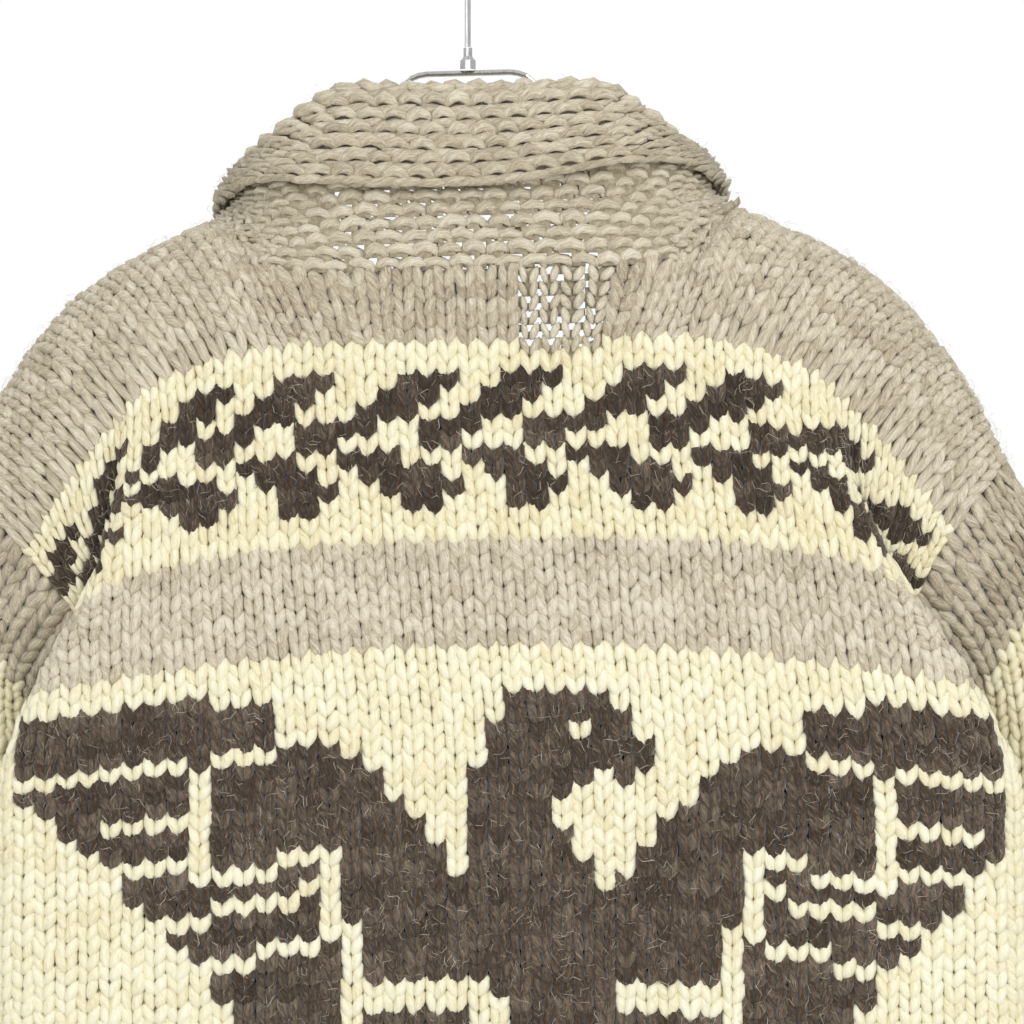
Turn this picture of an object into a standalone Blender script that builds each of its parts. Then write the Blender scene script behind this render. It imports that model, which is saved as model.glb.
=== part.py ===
"""Cowichan cardigan on a wire hanger.

Frame: metres, +Z up. The origin is the highest point inside the hanger's hook, where the rail goes.
The cardigan's front faces -Y and its back faces +Y; the wearer's left is +X.
Sizes below are millimetres. A place in the knitting is a stitch number, counted from the centre of the
back or front, and a row number, counted down from the top of the leaf band.
"""

from bisect import bisect_right
from collections import namedtuple
from math import cos, hypot, pi, radians, sin

import bmesh
import bpy
from mathutils import Vector

MM = 0.001
ROW = 7.57  # height of one knitted row
HALF = 27.0  # stitches from the centre to the side of each panel
SHOULDER_STITCH = 10.8  # where the shoulder line meets the neckline
UNDERARM_ROW = 20.5
LAST_ROW = 72.0  # the ribbed hem starts here
WALL = 5.5  # thickness of the knitted cloth
SEAM_WALL = 3.0  # the cloth is drawn thinner where the sleeve is sewn on
COLLAR_WALL = 5.5
GAP = 0.3  # between pieces at their seams
HEM_DEPTH = 58.0
CUFF_DEPTH = 52.0
HEM_DRAW = 1.5  # how far the ribs draw in
CUFF_DRAW = 6.0
RIB_HEIGHT = 2.0
BAND_HALF_WIDTH = 16.9
BAND_TOP_ROW = 9.75  # the V of the neck closes here
BUTTON_COUNT = 6
BUTTON_RADIUS = 11.5
WIRE_RADIUS = 1.5

COLOURS = {
    "wool_grey": ((0.43, 0.37, 0.29, 1), 0.0, 0.95),
    "wool_cream": ((0.85, 0.78, 0.56, 1), 0.0, 0.95),
    "wool_rib": ((0.43, 0.37, 0.29, 1), 0.0, 0.95),
    "button_wood": ((0.16, 0.08, 0.04, 1), 0.0, 0.45),
    "hanger_chrome": ((0.8, 0.8, 0.8, 1), 1.0, 0.12),
}


# ---------------------------------------------------------------- curves through short tables

def hermite(p0, p1, m0, m1, t):
    """The cubic from p0 to p1 with end slopes m0 and m1."""
    a, b = 2 * t**3 - 3 * t**2 + 1, t**3 - 2 * t**2 + t
    return p0 * a + m0 * b + p1 * (1 - a) + m1 * (t**3 - t**2)


def along(knots, values, x):
    """A smooth curve through values (numbers or vectors) at rising knots."""
    i = min(max(bisect_right(knots, x) - 1, 0), len(knots) - 2)

    def slope(k):
        lo, hi = max(k - 1, 0), min(k + 1, len(knots) - 1)
        return (values[hi] - values[lo]) * (1.0 / (knots[hi] - knots[lo]))

    step = knots[i + 1] - knots[i]
    t = (x - knots[i]) / step
    return hermite(values[i], values[i + 1], slope(i) * step, slope(i + 1) * step, t)


def round_loop(corners, turn):
    """An oval through four corners, reached at turn 0, 1, 2 and 3."""
    a, b, c, d = corners
    angle = turn * pi / 2
    centre, twist = (a + b + c + d) / 4, (a + c - b - d) / 4
    return centre + (a - c) / 2 * cos(angle) + (b - d) / 2 * sin(angle) + twist * cos(2 * angle)


# ---------------------------------------------------------------- how the cardigan hangs

Lean = namedtuple("Lean", "z shift tilt")
LEAN = [  # sideways shift of the cloth, and how much one side is higher, at each height
    Lean(-850, -20.5, 0.0),
    Lean(-450, -20.5, 0.0),
    Lean(-372, -14.0, 0.018),
    Lean(-300, -8.0, 0.026),
    Lean(-175, -3.0, 0.026),
    Lean(-90, 0.0, 0.012),
]


def hang(p):
    """Where a point of the straight cardigan lies once it hangs a little askew."""
    z = min(max(p.z, LEAN[0].z), LEAN[-1].z)
    shift = along([r.z for r in LEAN], [r.shift for r in LEAN], z)
    tilt = along([r.z for r in LEAN], [r.tilt for r in LEAN], z)
    return Vector((p.x + shift, p.y, p.z - tilt * p.x))


# ---------------------------------------------------------------- armhole, side and shoulder lines

ARMHOLE = [
    Vector((265, 0, -303)),  # shoulder
    Vector((212, 29, -369)),  # back
    Vector((190, 0, -430)),  # underarm
    Vector((214, -31, -369)),  # front
]
ARM_LEAN_TURNS = [0, 0.5, 1, 1.2, 1.5, 1.75, 2, 2.5, 3, 3.5, 4]
ARM_LEANS = [  # the way the seam's edge faces; behind the arm the cloth folds back on itself
    Vector((0.86, 0, 0.51)),
    Vector((0.55, 0.8, 0.25)),
    Vector((0.25, 0.95, -0.05)),
    Vector((0.85, 0.5, 0)),
    Vector((0.85, 0.5, -0.13)),
    Vector((0.68, 0.46, -0.57)),
    Vector((0.38, -0.74, -0.55)),
    Vector((-0.12, -0.82, 0.56)),
    Vector((0.15, -0.98, 0)),
    Vector((0.55, -0.8, 0.25)),
    Vector((0.86, 0, 0.51)),
]
ARM_ROWS = [-7.0, 0.0, 6.5, 13.0, 16.75, UNDERARM_ROW]
ARM_TURNS = [0.0, 0.66, 1.0, 1.2, 1.5, 2.0]


def armhole(turn):
    return round_loop(ARMHOLE, turn)


def armhole_lean(turn):
    return along(ARM_LEAN_TURNS, ARM_LEANS, turn % 4).normalized()


def arm_turn(row):
    """How far round the back of the armhole a row ends, from 0 at the shoulder to 2 at the underarm."""
    i = min(bisect_right(ARM_ROWS, row), len(ARM_ROWS) - 1)
    share = (row - ARM_ROWS[i - 1]) / (ARM_ROWS[i] - ARM_ROWS[i - 1])
    return min(max(ARM_TURNS[i - 1] + share * (ARM_TURNS[i] - ARM_TURNS[i - 1]), 0.0), 2.0)


def grid_turn(row):
    """arm_turn for a row of the grid, where -1 stands for the shoulder line."""
    return arm_turn(row if row >= 0 else -row * ARM_ROWS[0])


Side = namedtuple("Side", "row place")
SIDE = [  # where back and front meet below the armhole
    Side(UNDERARM_ROW, Vector((190, 0, -430))),
    Side(25, Vector((206, 4, -463))),
    Side(30, Vector((226, 10, -493))),
    Side(37.5, Vector((237, 12.5, -541))),
    Side(48, Vector((241, 14, -612))),
    Side(60, Vector((239, 13, -698))),
    Side(LAST_ROW, Vector((235.5, 8.5, -781))),
]
SIDE_LEANS = [ARM_LEANS[6], Vector((0.55, -0.62, 0.2)), Vector((0.6, -0.72, 0.15)),
              Vector((0.62, -0.78, 0)), Vector((0.62, -0.78, 0)), Vector((0.62, -0.78, 0)),
              Vector((0.62, -0.78, 0))]

RIDGE_STITCHES = [SHOULDER_STITCH, 12.8, 15.2, 17.4, 19.6, 21.6, 23.6, 25.3, HALF]
RIDGE = [
    Vector((124.5, 0, -169.5)),
    Vector((146, 0, -178)),
    Vector((171, 0, -189.5)),
    Vector((192.5, 0, -202.5)),
    Vector((213, 0, -219)),
    Vector((230, 0, -240)),
    Vector((245, 0, -262)),
    Vector((255.5, 0, -282)),
    Vector((265, 0, -303)),
]
NECK_STITCHES = [0, 4, 8, 9.4, 10.2, SHOULDER_STITCH]
NECK = [
    Vector((0, 46, -200)),
    Vector((42, 46, -200)),
    Vector((84, 44, -199.5)),
    Vector((103, 36, -194.5)),
    Vector((116, 20, -184)),
    Vector((124.5, 0, -169.5)),
]


def top_line(stitch):
    """The back neckline, then the shoulder line."""
    if stitch >= SHOULDER_STITCH:
        return along(RIDGE_STITCHES, RIDGE, stitch)
    return along(NECK_STITCHES, NECK, stitch)


# ---------------------------------------------------------------- the rows of back and front

# One line for each course of knitting that is measured: its row, the height and depth of its middle,
# then (stitch, x, y, z) where it passes the blade, the brow of the side fold, its crest, the tuck
# behind it and the strip beside the armhole.
Course = namedtuple("Course", "row middle blade brow crest tuck strip")
BACK = [
    Course(0, (50, -236), (11, 113, 49, -237), (16, 161, 45, -251), (17.5, 173.5, 42.6, -260),
           (19, 184.5, 39.5, -270.5), (23, 211.5, 31, -302.5)),
    Course(3.25, (51.5, -260.5), (11, 113, 50.5, -262.5), (16.3, 163, 48.5, -276.5),
           (17.9, 177, 46, -288.5), (19.2, 184, 39, -297), (23, 205, 32, -328)),
    Course(6.5, (53, -285), (11, 114, 52, -288), (16.8, 170, 51, -300.5), (18.6, 185, 47, -315),
           (20, 188, 36, -326), (23.4, 199, 32.5, -347)),
    Course(9.75, (54.5, -309.7), (11, 114, 53.5, -313.5), (17.4, 176, 52, -321.5),
           (19.3, 193, 47, -338), (21.2, 193, 32.5, -353.5), (24, 199.5, 30, -365.5)),
    Course(13, (56, -334.4), (11, 115, 55, -338.5), (18, 184, 53.5, -351), (20.6, 209, 46, -367),
           (23.2, 202.5, 31.5, -380), (25.2, 201.5, 28.8, -385)),
    Course(16.75, (57, -362.8), (11, 115, 56, -367.5), (19.3, 201, 53, -379.5),
           (21.8, 226, 44, -393), (23.4, 217, 33, -399), (25.2, 209.3, 38, -406.3)),
    Course(20.5, (58, -391), (11, 115, 57, -396.5), (20.5, 216, 52, -410.5),
           (22.8, 238, 40, -415), (24.2, 230, 27, -420), (25.6, 197.3, 26.2, -423.2)),
    Course(25, (59, -425.2), (11, 115.5, 58, -431), (21.6, 232, 52, -447), (23.9, 254, 38, -450),
           (25.2, 245, 24, -453), (26.1, 228, 18, -457)),
    Course(30, (59.5, -463), (11, 116, 58.5, -468), (22, 237, 52, -481), (24.3, 258, 37, -484),
           (25.4, 250, 23, -486), (26.2, 241, 17, -489)),
    Course(45, (60, -576.6), (11, 116, 59, -580), (22, 238, 52, -586.5), (24.3, 259, 37, -588),
           (25.6, 251.5, 23, -588), (26.3, 246.5, 18, -588)),
    Course(60, (58, -690), (11, 115, 57, -691.5), (22, 236, 50, -694.5), (24.3, 257, 35.5, -695),
           (25.6, 249.5, 22, -695), (26.3, 244.5, 17, -695)),
    Course(72, (54, -781), (11, 113, 53, -781), (22, 231, 46, -781), (24.1, 249, 33, -781),
           (25.4, 246.5, 21.5, -781), (26.2, 242, 15, -781)),
]
# The front has no side fold: its brow, crest and tuck turn it back beside the sleeve.
FRONT = [
    Course(0, (-50, -236), (11, 113, -49, -237), (16, 161, -45, -251), (17.5, 173.5, -42.6, -260),
           (19, 184.5, -39.5, -270.5), (23, 211.5, -31, -302.5)),
    Course(6.5, (-50.5, -285), (11, 114, -50, -288), (16.8, 168, -47.5, -304),
           (18.4, 180, -45, -313), (20, 190, -41, -325), (23.5, 203, -35, -347)),
    Course(13, (-51, -334.4), (11, 115, -51, -338.5), (16.5, 165, -48, -351),
           (18.4, 180, -43.5, -362), (20.4, 189, -39, -369), (23.5, 197, -34, -379)),
    Course(16.75, (-51.5, -362.8), (11, 115, -51.5, -367.5), (16.2, 163, -48.5, -377),
           (18.2, 177, -43, -386), (20.2, 183, -38, -393), (23.5, 188, -31, -402)),
    Course(20.5, (-52, -391), (11, 115, -52, -396.5), (16, 162, -49, -404),
           (18, 175, -42.5, -411), (20, 182, -33, -418), (23.5, 187, -16, -426)),
    Course(25, (-52.5, -425.2), (11, 116, -52, -431), (16.3, 165, -49, -440),
           (18.3, 178, -40.5, -444), (20.2, 188, -29, -449), (23.7, 198.5, -13, -456)),
    Course(30, (-52.5, -463), (11, 116, -52.5, -468), (16.5, 167, -50, -477),
           (18.6, 182, -41, -480), (20.4, 193, -29, -483), (23.7, 211, -10, -488)),
    Course(45, (-52.5, -576.6), (11, 116, -52.5, -580), (16.5, 168, -50, -586),
           (18.6, 185, -41, -587), (20.4, 197, -28.5, -588), (23.7, 219, -8, -588)),
    Course(60, (-52, -690), (11, 115, -52, -691.5), (16.5, 167, -49.5, -694),
           (18.6, 184, -40.5, -695), (20.4, 196, -28.5, -695), (23.7, 217.5, -8.5, -695)),
    Course(72, (-50, -781), (11, 113, -50, -781), (16.5, 164, -47.5, -781),
           (18.6, 181, -39, -781), (20.4, 192.5, -27.5, -781), (23.7, 214, -8.5, -781)),
]
DRAPE_DEPTH = 3.5  # soft upright waves in the lower body


def side_line(row, back):
    """Where a row ends: on the armhole, or below it on the side."""
    if row >= UNDERARM_ROW:
        return along([s.row for s in SIDE], [s.place for s in SIDE], row)
    return armhole(arm_turn(row) if back else 4 - arm_turn(row))


def drape(stitch, row):
    """Soft upright waves that open towards the hem."""
    grow = min(max((row - 34) / 34, 0.0), 1.0)
    fade = min(max((25 - stitch) / 6, 0.0), 1.0)
    return DRAPE_DEPTH * grow * fade * sin(stitch * 2 * pi / 8.5 + 0.6)


def course_point(courses, stitch, row):
    """A point on a knitted row, from the table's rows above and below it."""
    rows = [c.row for c in courses]
    stitches, places = [0.0], [Vector((0, 0, 0))]
    places[0].y = along(rows, [c.middle[0] for c in courses], row)
    places[0].z = along(rows, [c.middle[1] for c in courses], row)
    for name in ("blade", "brow", "crest", "tuck", "strip"):
        marks = [getattr(c, name) for c in courses]
        stitches.append(along(rows, [m[0] for m in marks], row))
        places.append(along(rows, [Vector(m[1:]) for m in marks], row))
    stitches.append(HALF)
    places.append(side_line(row, courses is BACK))
    mirrored = Vector((-places[1].x, places[1].y, places[1].z))
    point = along([-stitches[1]] + stitches, [mirrored] + places, stitch)
    away = 1 if courses is BACK else -1
    point.y += away * drape(stitch, row)
    return point


ROUND = 2 / 2.5  # how squarely the shoulder turns over from back to front


def shoulder_point(courses, stitch, share):
    """A point between the leaf band, at share 0, and the neck or shoulder line, at share 1."""
    away = 1 if courses is BACK else -1
    low = course_point(courses, stitch, 0)
    high = top_line(stitch)
    if not away > 0:
        high = Vector((high.x, -high.y, high.z))
    angle = share * pi / 2
    rise, fall = sin(angle) ** ROUND, cos(angle) ** ROUND
    flat = min(max((SHOULDER_STITCH - stitch) / 1.8, 0.0), 1.0) if away > 0 else 0.0  # the nape is straight
    rise += (share - rise) * flat
    fall += (1 - rise - fall) * flat
    point = low + (high - low) * rise
    point.y = high.y + (low.y - high.y) * fall
    seam = max(stitch - 21, 0) / (HALF - 21)
    if seam:
        turn = grid_turn(-share)
        edge = armhole(turn if away > 0 else 4 - turn)
        plain = armhole(ARM_TURNS[1] if away > 0 else 4 - ARM_TURNS[1])
        end = plain + (RIDGE[-1] - plain) * rise
        end.y = plain.y * fall
        point += (edge - end) * seam**2
    return point


def panel_point(courses, stitch, row):
    """row counts down from the leaf band; above it, -1 is the neck or shoulder line."""
    across = abs(stitch)
    if row < 0:
        point = shoulder_point(courses, across, -row)
    else:
        point = course_point(courses, across, row)
    if stitch < 0:
        point.x = -point.x
    return point


def facing(surface, a, b):
    """The normal of surface(a, b), towards the back where a runs across and b runs down."""
    da, db = 0.3, 0.03
    across = surface(a + da, b) - surface(a - da, b)
    down = surface(a, b + db) - surface(a, b - db)
    return across.cross(down).normalized()


# ---------------------------------------------------------------- building walls

def material(name):
    """One Principled material for each finish in COLOURS."""
    found = bpy.data.materials.get(name)
    if found:
        return found
    colour, metallic, roughness = COLOURS[name]
    made = bpy.data.materials.new(name)
    made.use_nodes = True
    shader = made.node_tree.nodes["Principled BSDF"]
    shader.inputs["Base Color"].default_value = colour
    shader.inputs["Metallic"].default_value = metallic
    shader.inputs["Roughness"].default_value = roughness
    made.diffuse_color = colour
    return made


def add_object(name, data, finish, collection):
    data.materials.append(material(finish))
    made = bpy.data.objects.new(name, data)
    collection.objects.link(made)
    return made


def wall(name, outer, inner, finish, collection, tube=False):
    """A closed wall between two skins, each a grid of points in millimetres."""
    bm = bmesh.new()
    rows, columns = len(outer), len(outer[0])
    skins = [[[bm.verts.new(hang(p) * MM) for p in line] for line in skin] for skin in (outer, inner)]
    steps = columns if tube else columns - 1

    def quad(a, b, c, d):
        bm.faces.new((a, b, c, d))

    for i in range(rows - 1):
        for j in range(steps):
            k = (j + 1) % columns
            for skin in skins:
                quad(skin[i][j], skin[i][k], skin[i + 1][k], skin[i + 1][j])
    out, inn = skins
    for j in range(steps):
        k = (j + 1) % columns
        for i in (0, rows - 1):
            quad(out[i][j], out[i][k], inn[i][k], inn[i][j])
    if not tube:
        for i in range(rows - 1):
            for j in (0, columns - 1):
                quad(out[i][j], out[i + 1][j], inn[i + 1][j], inn[i][j])
    bmesh.ops.recalc_face_normals(bm, faces=bm.faces)
    bmesh.ops.triangulate(bm, faces=bm.faces)  # both sides of a seam are cut along the same diagonals
    mesh = bpy.data.meshes.new(name)
    bm.to_mesh(mesh)
    bm.free()
    mesh.shade_smooth()
    mesh.set_sharp_from_angle(angle=radians(50))
    return add_object(name, mesh, finish, collection)


def spread(marks, parts):
    """Each stretch between marks, divided into its number of parts."""
    values = [marks[0]]
    for lo, hi, n in zip(marks, marks[1:], parts):
        values += [lo + (hi - lo) * (i + 1) / n for i in range(n)]
    return values


# Rows of the grid: -1 is the neck or shoulder line and 0 the top of the leaf band.
GRID_ROWS = [-1, -0.9, -0.66, -0.3, 0, 3.25, 6.5, BAND_TOP_ROW, 13, 16.75, 18.6, UNDERARM_ROW, 25, 30,
             37.5, 48, 60, LAST_ROW]


def fold_marks(courses, row):
    """The stitches at which a row passes the measured places, from the brow outwards."""
    level = max(row, 0)
    rows = [c.row for c in courses]
    names = ("brow", "crest", "tuck", "strip")
    return [along(rows, [float(getattr(c, n)[0]) for c in courses], level) for n in names] + [HALF]


NECK_LEAN_STITCHES = [0, 6, 9.4, 10.2, SHOULDER_STITCH]
NECK_LEANS = [
    Vector((0, 1, 0.1)),
    Vector((0.1, 1, 0.1)),
    Vector((0.5, 0.8, 0.3)),
    Vector((0.6, 0.5, 0.6)),
    Vector((0.5, 0, 0.85)),
]
FRONT_LEAN_ROWS = [-1, -0.8, -0.4, 1, 3, LAST_ROW]
FRONT_LEANS = [
    Vector((0.5, 0, 0.85)),
    Vector((0.5, -0.6, 0.6)),
    Vector((0.25, -0.92, 0.25)),
    Vector((0, -1, 0)),
    Vector((0, -1, 0)),
    Vector((0, -1, 0)),
]


def neck_lean(stitch):
    return along(NECK_LEAN_STITCHES, NECK_LEANS, stitch).normalized()


def front_edge_lean(row):
    return along(FRONT_LEAN_ROWS, FRONT_LEANS, row).normalized()


CREST_LIFT = 1.2  # turns the wall at the fold's crest inwards, clear of the cloth in front of it


def panel_lean(courses, stitch, row):
    """The way a panel's cloth faces, shared with the neighbouring piece along each seam."""
    sign = 1 if stitch >= 0 else -1
    across = abs(stitch)
    if across > HALF - 0.01:
        if row >= UNDERARM_ROW - 0.01:
            lean = along([s.row for s in SIDE], SIDE_LEANS, row).normalized()
        else:
            turn = grid_turn(row)
            lean = armhole_lean(turn if courses is BACK else 4 - turn)
        return Vector((lean.x * sign, lean.y, lean.z))
    if row <= -0.99 and across > SHOULDER_STITCH + 0.01:
        ahead = top_line(min(across + 0.3, HALF)) - top_line(max(across - 0.3, SHOULDER_STITCH))
        return Vector((-ahead.z * sign, 0, ahead.x)).normalized()
    if courses is FRONT and across < neck_edge(row) + 0.01:
        lean = front_edge_lean(row)
        return Vector((lean.x * sign, lean.y, lean.z))
    if row <= -0.99:
        lean = neck_lean(across)
        return Vector((lean.x * sign, lean.y, lean.z))
    low = 0.0 if row >= 0 else -1.0

    def surface(a, b):
        if row >= 0:
            return panel_point(courses, min(max(a, -HALF), HALF), min(max(b, low), LAST_ROW))
        return panel_point(courses, min(max(a, -HALF), HALF), min(max(b, -1.0), -1e-4))

    if courses is FRONT:
        return -facing(surface, stitch, row)
    lean = facing(surface, stitch, row)
    if 3 < row < 19 and abs(across - fold_marks(BACK, row)[1]) < 0.01:
        lean = lean + Vector((0, CREST_LIFT, 0))
    return lean.normalized()


def evened(leans):
    """The directions averaged with their neighbours, so that tight folds keep their thickness."""
    made = [list(line) for line in leans]
    for i in range(1, len(leans) - 1):
        for j in range(1, len(leans[i]) - 1):
            near = leans[i][j] * 2 + leans[i - 1][j] + leans[i + 1][j] + leans[i][j - 1] + leans[i][j + 1]
            made[i][j] = near.normalized()
    return made


def wall_at(stitch, row):
    """Thickness of a panel's cloth: SEAM_WALL along the armhole, WALL from four stitches inwards."""
    beside = min((HALF - abs(stitch)) / 4, 1.0)
    below = min(max((row - UNDERARM_ROW) / 6, 0.0), 1.0)
    return SEAM_WALL + (WALL - SEAM_WALL) * max(beside, below)


def skins_of(courses, stitches_of, rows):
    """Outer and inner points of a panel; stitches_of(row) lists the stitches of a grid row."""
    outer, inner = [], []
    for row in rows:
        outer.append([panel_point(courses, s, row) for s in stitches_of(row)])
    leans = evened([[panel_lean(courses, s, row) for s in stitches_of(row)] for row in rows])
    for row, line, lean in zip(rows, outer, leans):
        walls = [wall_at(s, row) for s in stitches_of(row)]
        inner.append([p - n * w for p, n, w in zip(line, lean, walls)])
    return outer, inner


# ---------------------------------------------------------------- back

NECK_GRID = [0, 4, 7, 9, 10.1, SHOULDER_STITCH]  # shared by the back's top edge and the collar
BLADE = 11.0


def back_stitches(row):
    """Stitches of one grid row; they follow the side fold down the back."""
    level = min(row + 1, 1)
    inner = [s + (BLADE * i / 5 - s) * level for i, s in enumerate(NECK_GRID)]
    half = inner + spread([inner[-1]] + fold_marks(BACK, row), [3, 3, 2, 2, 2])[1:]
    return [-s for s in reversed(half[1:])] + half


def build_back(collection):
    return wall("back", *skins_of(BACK, back_stitches, GRID_ROWS), "wool_grey", collection)


# ---------------------------------------------------------------- fronts

FRONT_OPEN_STITCH = 1.7  # the fronts stop where their bands begin
OVERLAP = 3.5  # one front lies this much before the middle, the other this much behind
NECK_EDGE_ROWS = [-1, -0.5, 0, 3.25, 6.5, BAND_TOP_ROW, LAST_ROW]
NECK_EDGE_STITCHES = [SHOULDER_STITCH, 10.1, 9.2, 7.1, 4.6, FRONT_OPEN_STITCH, FRONT_OPEN_STITCH]


def neck_edge(row):
    """The stitch at which the front's neckline or opening cuts a row."""
    i = min(max(bisect_right(NECK_EDGE_ROWS, row) - 1, 0), len(NECK_EDGE_ROWS) - 2)
    share = (row - NECK_EDGE_ROWS[i]) / (NECK_EDGE_ROWS[i + 1] - NECK_EDGE_ROWS[i])
    return NECK_EDGE_STITCHES[i] + share * (NECK_EDGE_STITCHES[i + 1] - NECK_EDGE_STITCHES[i])


def overlap(stitch, sign):
    """How far a front moves forward (-Y) or back near the opening, where the bands overlap."""
    return -OVERLAP * sign * min(max((10 - stitch) / 8, 0.0), 1.0)


def build_front(name, sign, collection):
    def stitches_of(row):
        half = spread([neck_edge(row)] + fold_marks(FRONT, row), [5, 2, 2, 2, 1])
        return [sign * s for s in half]

    outer, inner = skins_of(FRONT, stitches_of, GRID_ROWS)
    for skin in (outer, inner):
        for row, line in zip(GRID_ROWS, skin):
            for stitch, p in zip(stitches_of(row), line):
                p.y += overlap(abs(stitch), sign)
                # The seam gap to the back, on the shoulder and down the side.
                if abs(stitch) > HALF - 0.01 and row > UNDERARM_ROW - 0.01:
                    p.x -= GAP * sign
                    p.y -= GAP
                if row < -0.99:
                    p.y -= GAP
    return wall(name, outer, inner, "wool_grey", collection)


# ---------------------------------------------------------------- sleeves

Ring = namedtuple("Ring", "along centre half_long lift turn half_thick")
SLEEVE = [  # sections square to the arm: lift and turn, in degrees, place the long axis
    Ring(45, (247.1, -15.8, -406), 72, 53.7, 16.3, 30),
    Ring(95, (257, -19, -442), 77, 43, 28, 33),
    Ring(150, (259, -22, -492), 76, 29, 36, 33),
    Ring(220, (256, -24, -560), 73, 14, 40, 31),
    Ring(300, (253, -25, -640), 67, 5, 40, 29),
    Ring(400, (250, -26, -740), 57, 0, 40, 27),
    Ring(434, (249, -26, -774), 52, 0, 40, 26),
]
EVEN_AFTER = 60.0  # by here the points round the sleeve are evenly spaced


def ring_corners(ring):
    lift, turn = radians(ring.lift), radians(ring.turn)
    centre = Vector(ring.centre)
    long_axis = Vector((cos(lift) * cos(turn), cos(lift) * sin(turn), sin(lift))) * ring.half_long
    short_axis = Vector((-sin(turn), cos(turn), 0)) * ring.half_thick
    return [centre + long_axis, centre + short_axis, centre - long_axis, centre - short_axis]


SLEEVE_CORNERS = [ARMHOLE] + [ring_corners(r) for r in SLEEVE]
SLEEVE_ALONG = [0.0] + [float(r.along) for r in SLEEVE]


def sleeve_point(turn, distance):
    corners = [along(SLEEVE_ALONG, [ring[i] for ring in SLEEVE_CORNERS], distance) for i in range(4)]
    return round_loop(corners, turn % 4)


def sleeve_lean(turn, distance):
    """The way the sleeve's cloth faces; at the armhole it is the seam's own."""
    if distance < 1:
        return armhole_lean(turn)
    across = sleeve_point(turn + 0.02, distance) - sleeve_point(turn - 0.02, distance)
    down = sleeve_point(turn, distance + 2) - sleeve_point(turn, distance - 2)
    return down.cross(across).normalized()


def seam_gap(before, after, lean):
    """The step that keeps a piece clear of the one it is sewn to, across the seam's edge."""
    return (after - before).cross(lean).normalized() * GAP


def mirror(points, sign):
    return [Vector((p.x * sign, p.y, p.z)) for p in points]


def build_sleeve(name, sign, collection):
    up_to_arm = [grid_turn(row) for row in GRID_ROWS if row <= UNDERARM_ROW]
    seam_turns = up_to_arm + [4 - t for t in reversed(up_to_arm[1:-1])]
    even_turns = [4 * i / len(seam_turns) for i in range(len(seam_turns))]
    stops = [0, 14, 30, 48, 70, 95, 122, 150, 185, 220, 260, 300, 350, 400, SLEEVE_ALONG[-1] - GAP]
    outer, inner = [], []
    for distance in stops:
        even = min(distance / EVEN_AFTER, 1)
        turns = [a + (b - a) * even for a, b in zip(seam_turns, even_turns)]
        line = [sleeve_point(t, distance) for t in turns]
        lean = [sleeve_lean(t, distance) for t in turns]
        if distance == 0:
            line = [p + seam_gap(armhole(t - 0.02), armhole(t + 0.02), n) for p, t, n in zip(line, turns, lean)]
        thick = SEAM_WALL + (WALL - SEAM_WALL) * min(distance / 30, 1)
        outer.append(mirror(line, sign))
        inner.append(mirror([p - n * thick for p, n in zip(line, lean)], sign))
    return wall(name, outer, inner, "wool_cream", collection, tube=True)


# ---------------------------------------------------------------- ribs: hem and cuffs

POINTS_PER_RIB = 2


def rib(i):
    """Height of the ribbing's outer face at the i-th point: ridge, furrow."""
    return RIB_HEIGHT * (1, 0)[i % POINTS_PER_RIB]


def ribbed_wall(name, line, lean, depth, draw, finish, collection, tube=False):
    """Ribbing that hangs from a line of points, drawn in by `draw` at its lower edge."""
    outer, inner = [], []
    for share in (0.0, 0.18, 1.0):
        drop = Vector((0, 0, -share * depth))
        pull = draw * min(share / 0.18, 1.0)
        raised = min(share / 0.18, 1.0) * 0.85 + 0.15
        outer.append([p + drop - n * (pull - rib(i) * raised) for i, (p, n) in enumerate(zip(line, lean))])
        inner.append([p + drop - n * (pull + WALL - 1) for p, n in zip(line, lean)])
    return wall(name, outer, inner, finish, collection, tube)


def hem_line(courses, start, end, ribs):
    count = ribs * POINTS_PER_RIB
    stitches = [start + (end - start) * i / count for i in range(count + 1)]
    line = [panel_point(courses, s, LAST_ROW) - Vector((0, 0, GAP)) for s in stitches]
    lean = [panel_lean(courses, s, LAST_ROW) for s in stitches]
    return stitches, line, lean


def build_hems(collection):
    _, line, lean = hem_line(BACK, -HALF, HALF, 27)
    ribbed_wall("hem_back", line, lean, HEM_DEPTH, HEM_DRAW, "wool_rib", collection)
    for name, sign in (("hem_left", 1), ("hem_right", -1)):
        stitches, line, lean = hem_line(FRONT, sign * FRONT_OPEN_STITCH, sign * HALF, 12)
        for s, p in zip(stitches, line):
            p.y += overlap(abs(s), sign)
            if abs(s) > HALF - 0.01:
                p.y -= GAP
        ribbed_wall(name, line, lean, HEM_DEPTH, HEM_DRAW, "wool_rib", collection)


def build_cuff(name, sign, collection):
    ribs = 11
    turns = [4 * i / (ribs * POINTS_PER_RIB) for i in range(ribs * POINTS_PER_RIB)]
    end = SLEEVE_ALONG[-1]
    line = mirror([sleeve_point(t, end) for t in turns], sign)
    lean = mirror([sleeve_lean(t, end - 2) for t in turns], sign)
    level = [Vector((n.x, n.y, 0)).normalized() for n in lean]
    ribbed_wall(name, line, level, CUFF_DEPTH, CUFF_DRAW, "wool_rib", collection, tube=True)


# ---------------------------------------------------------------- collar

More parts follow.
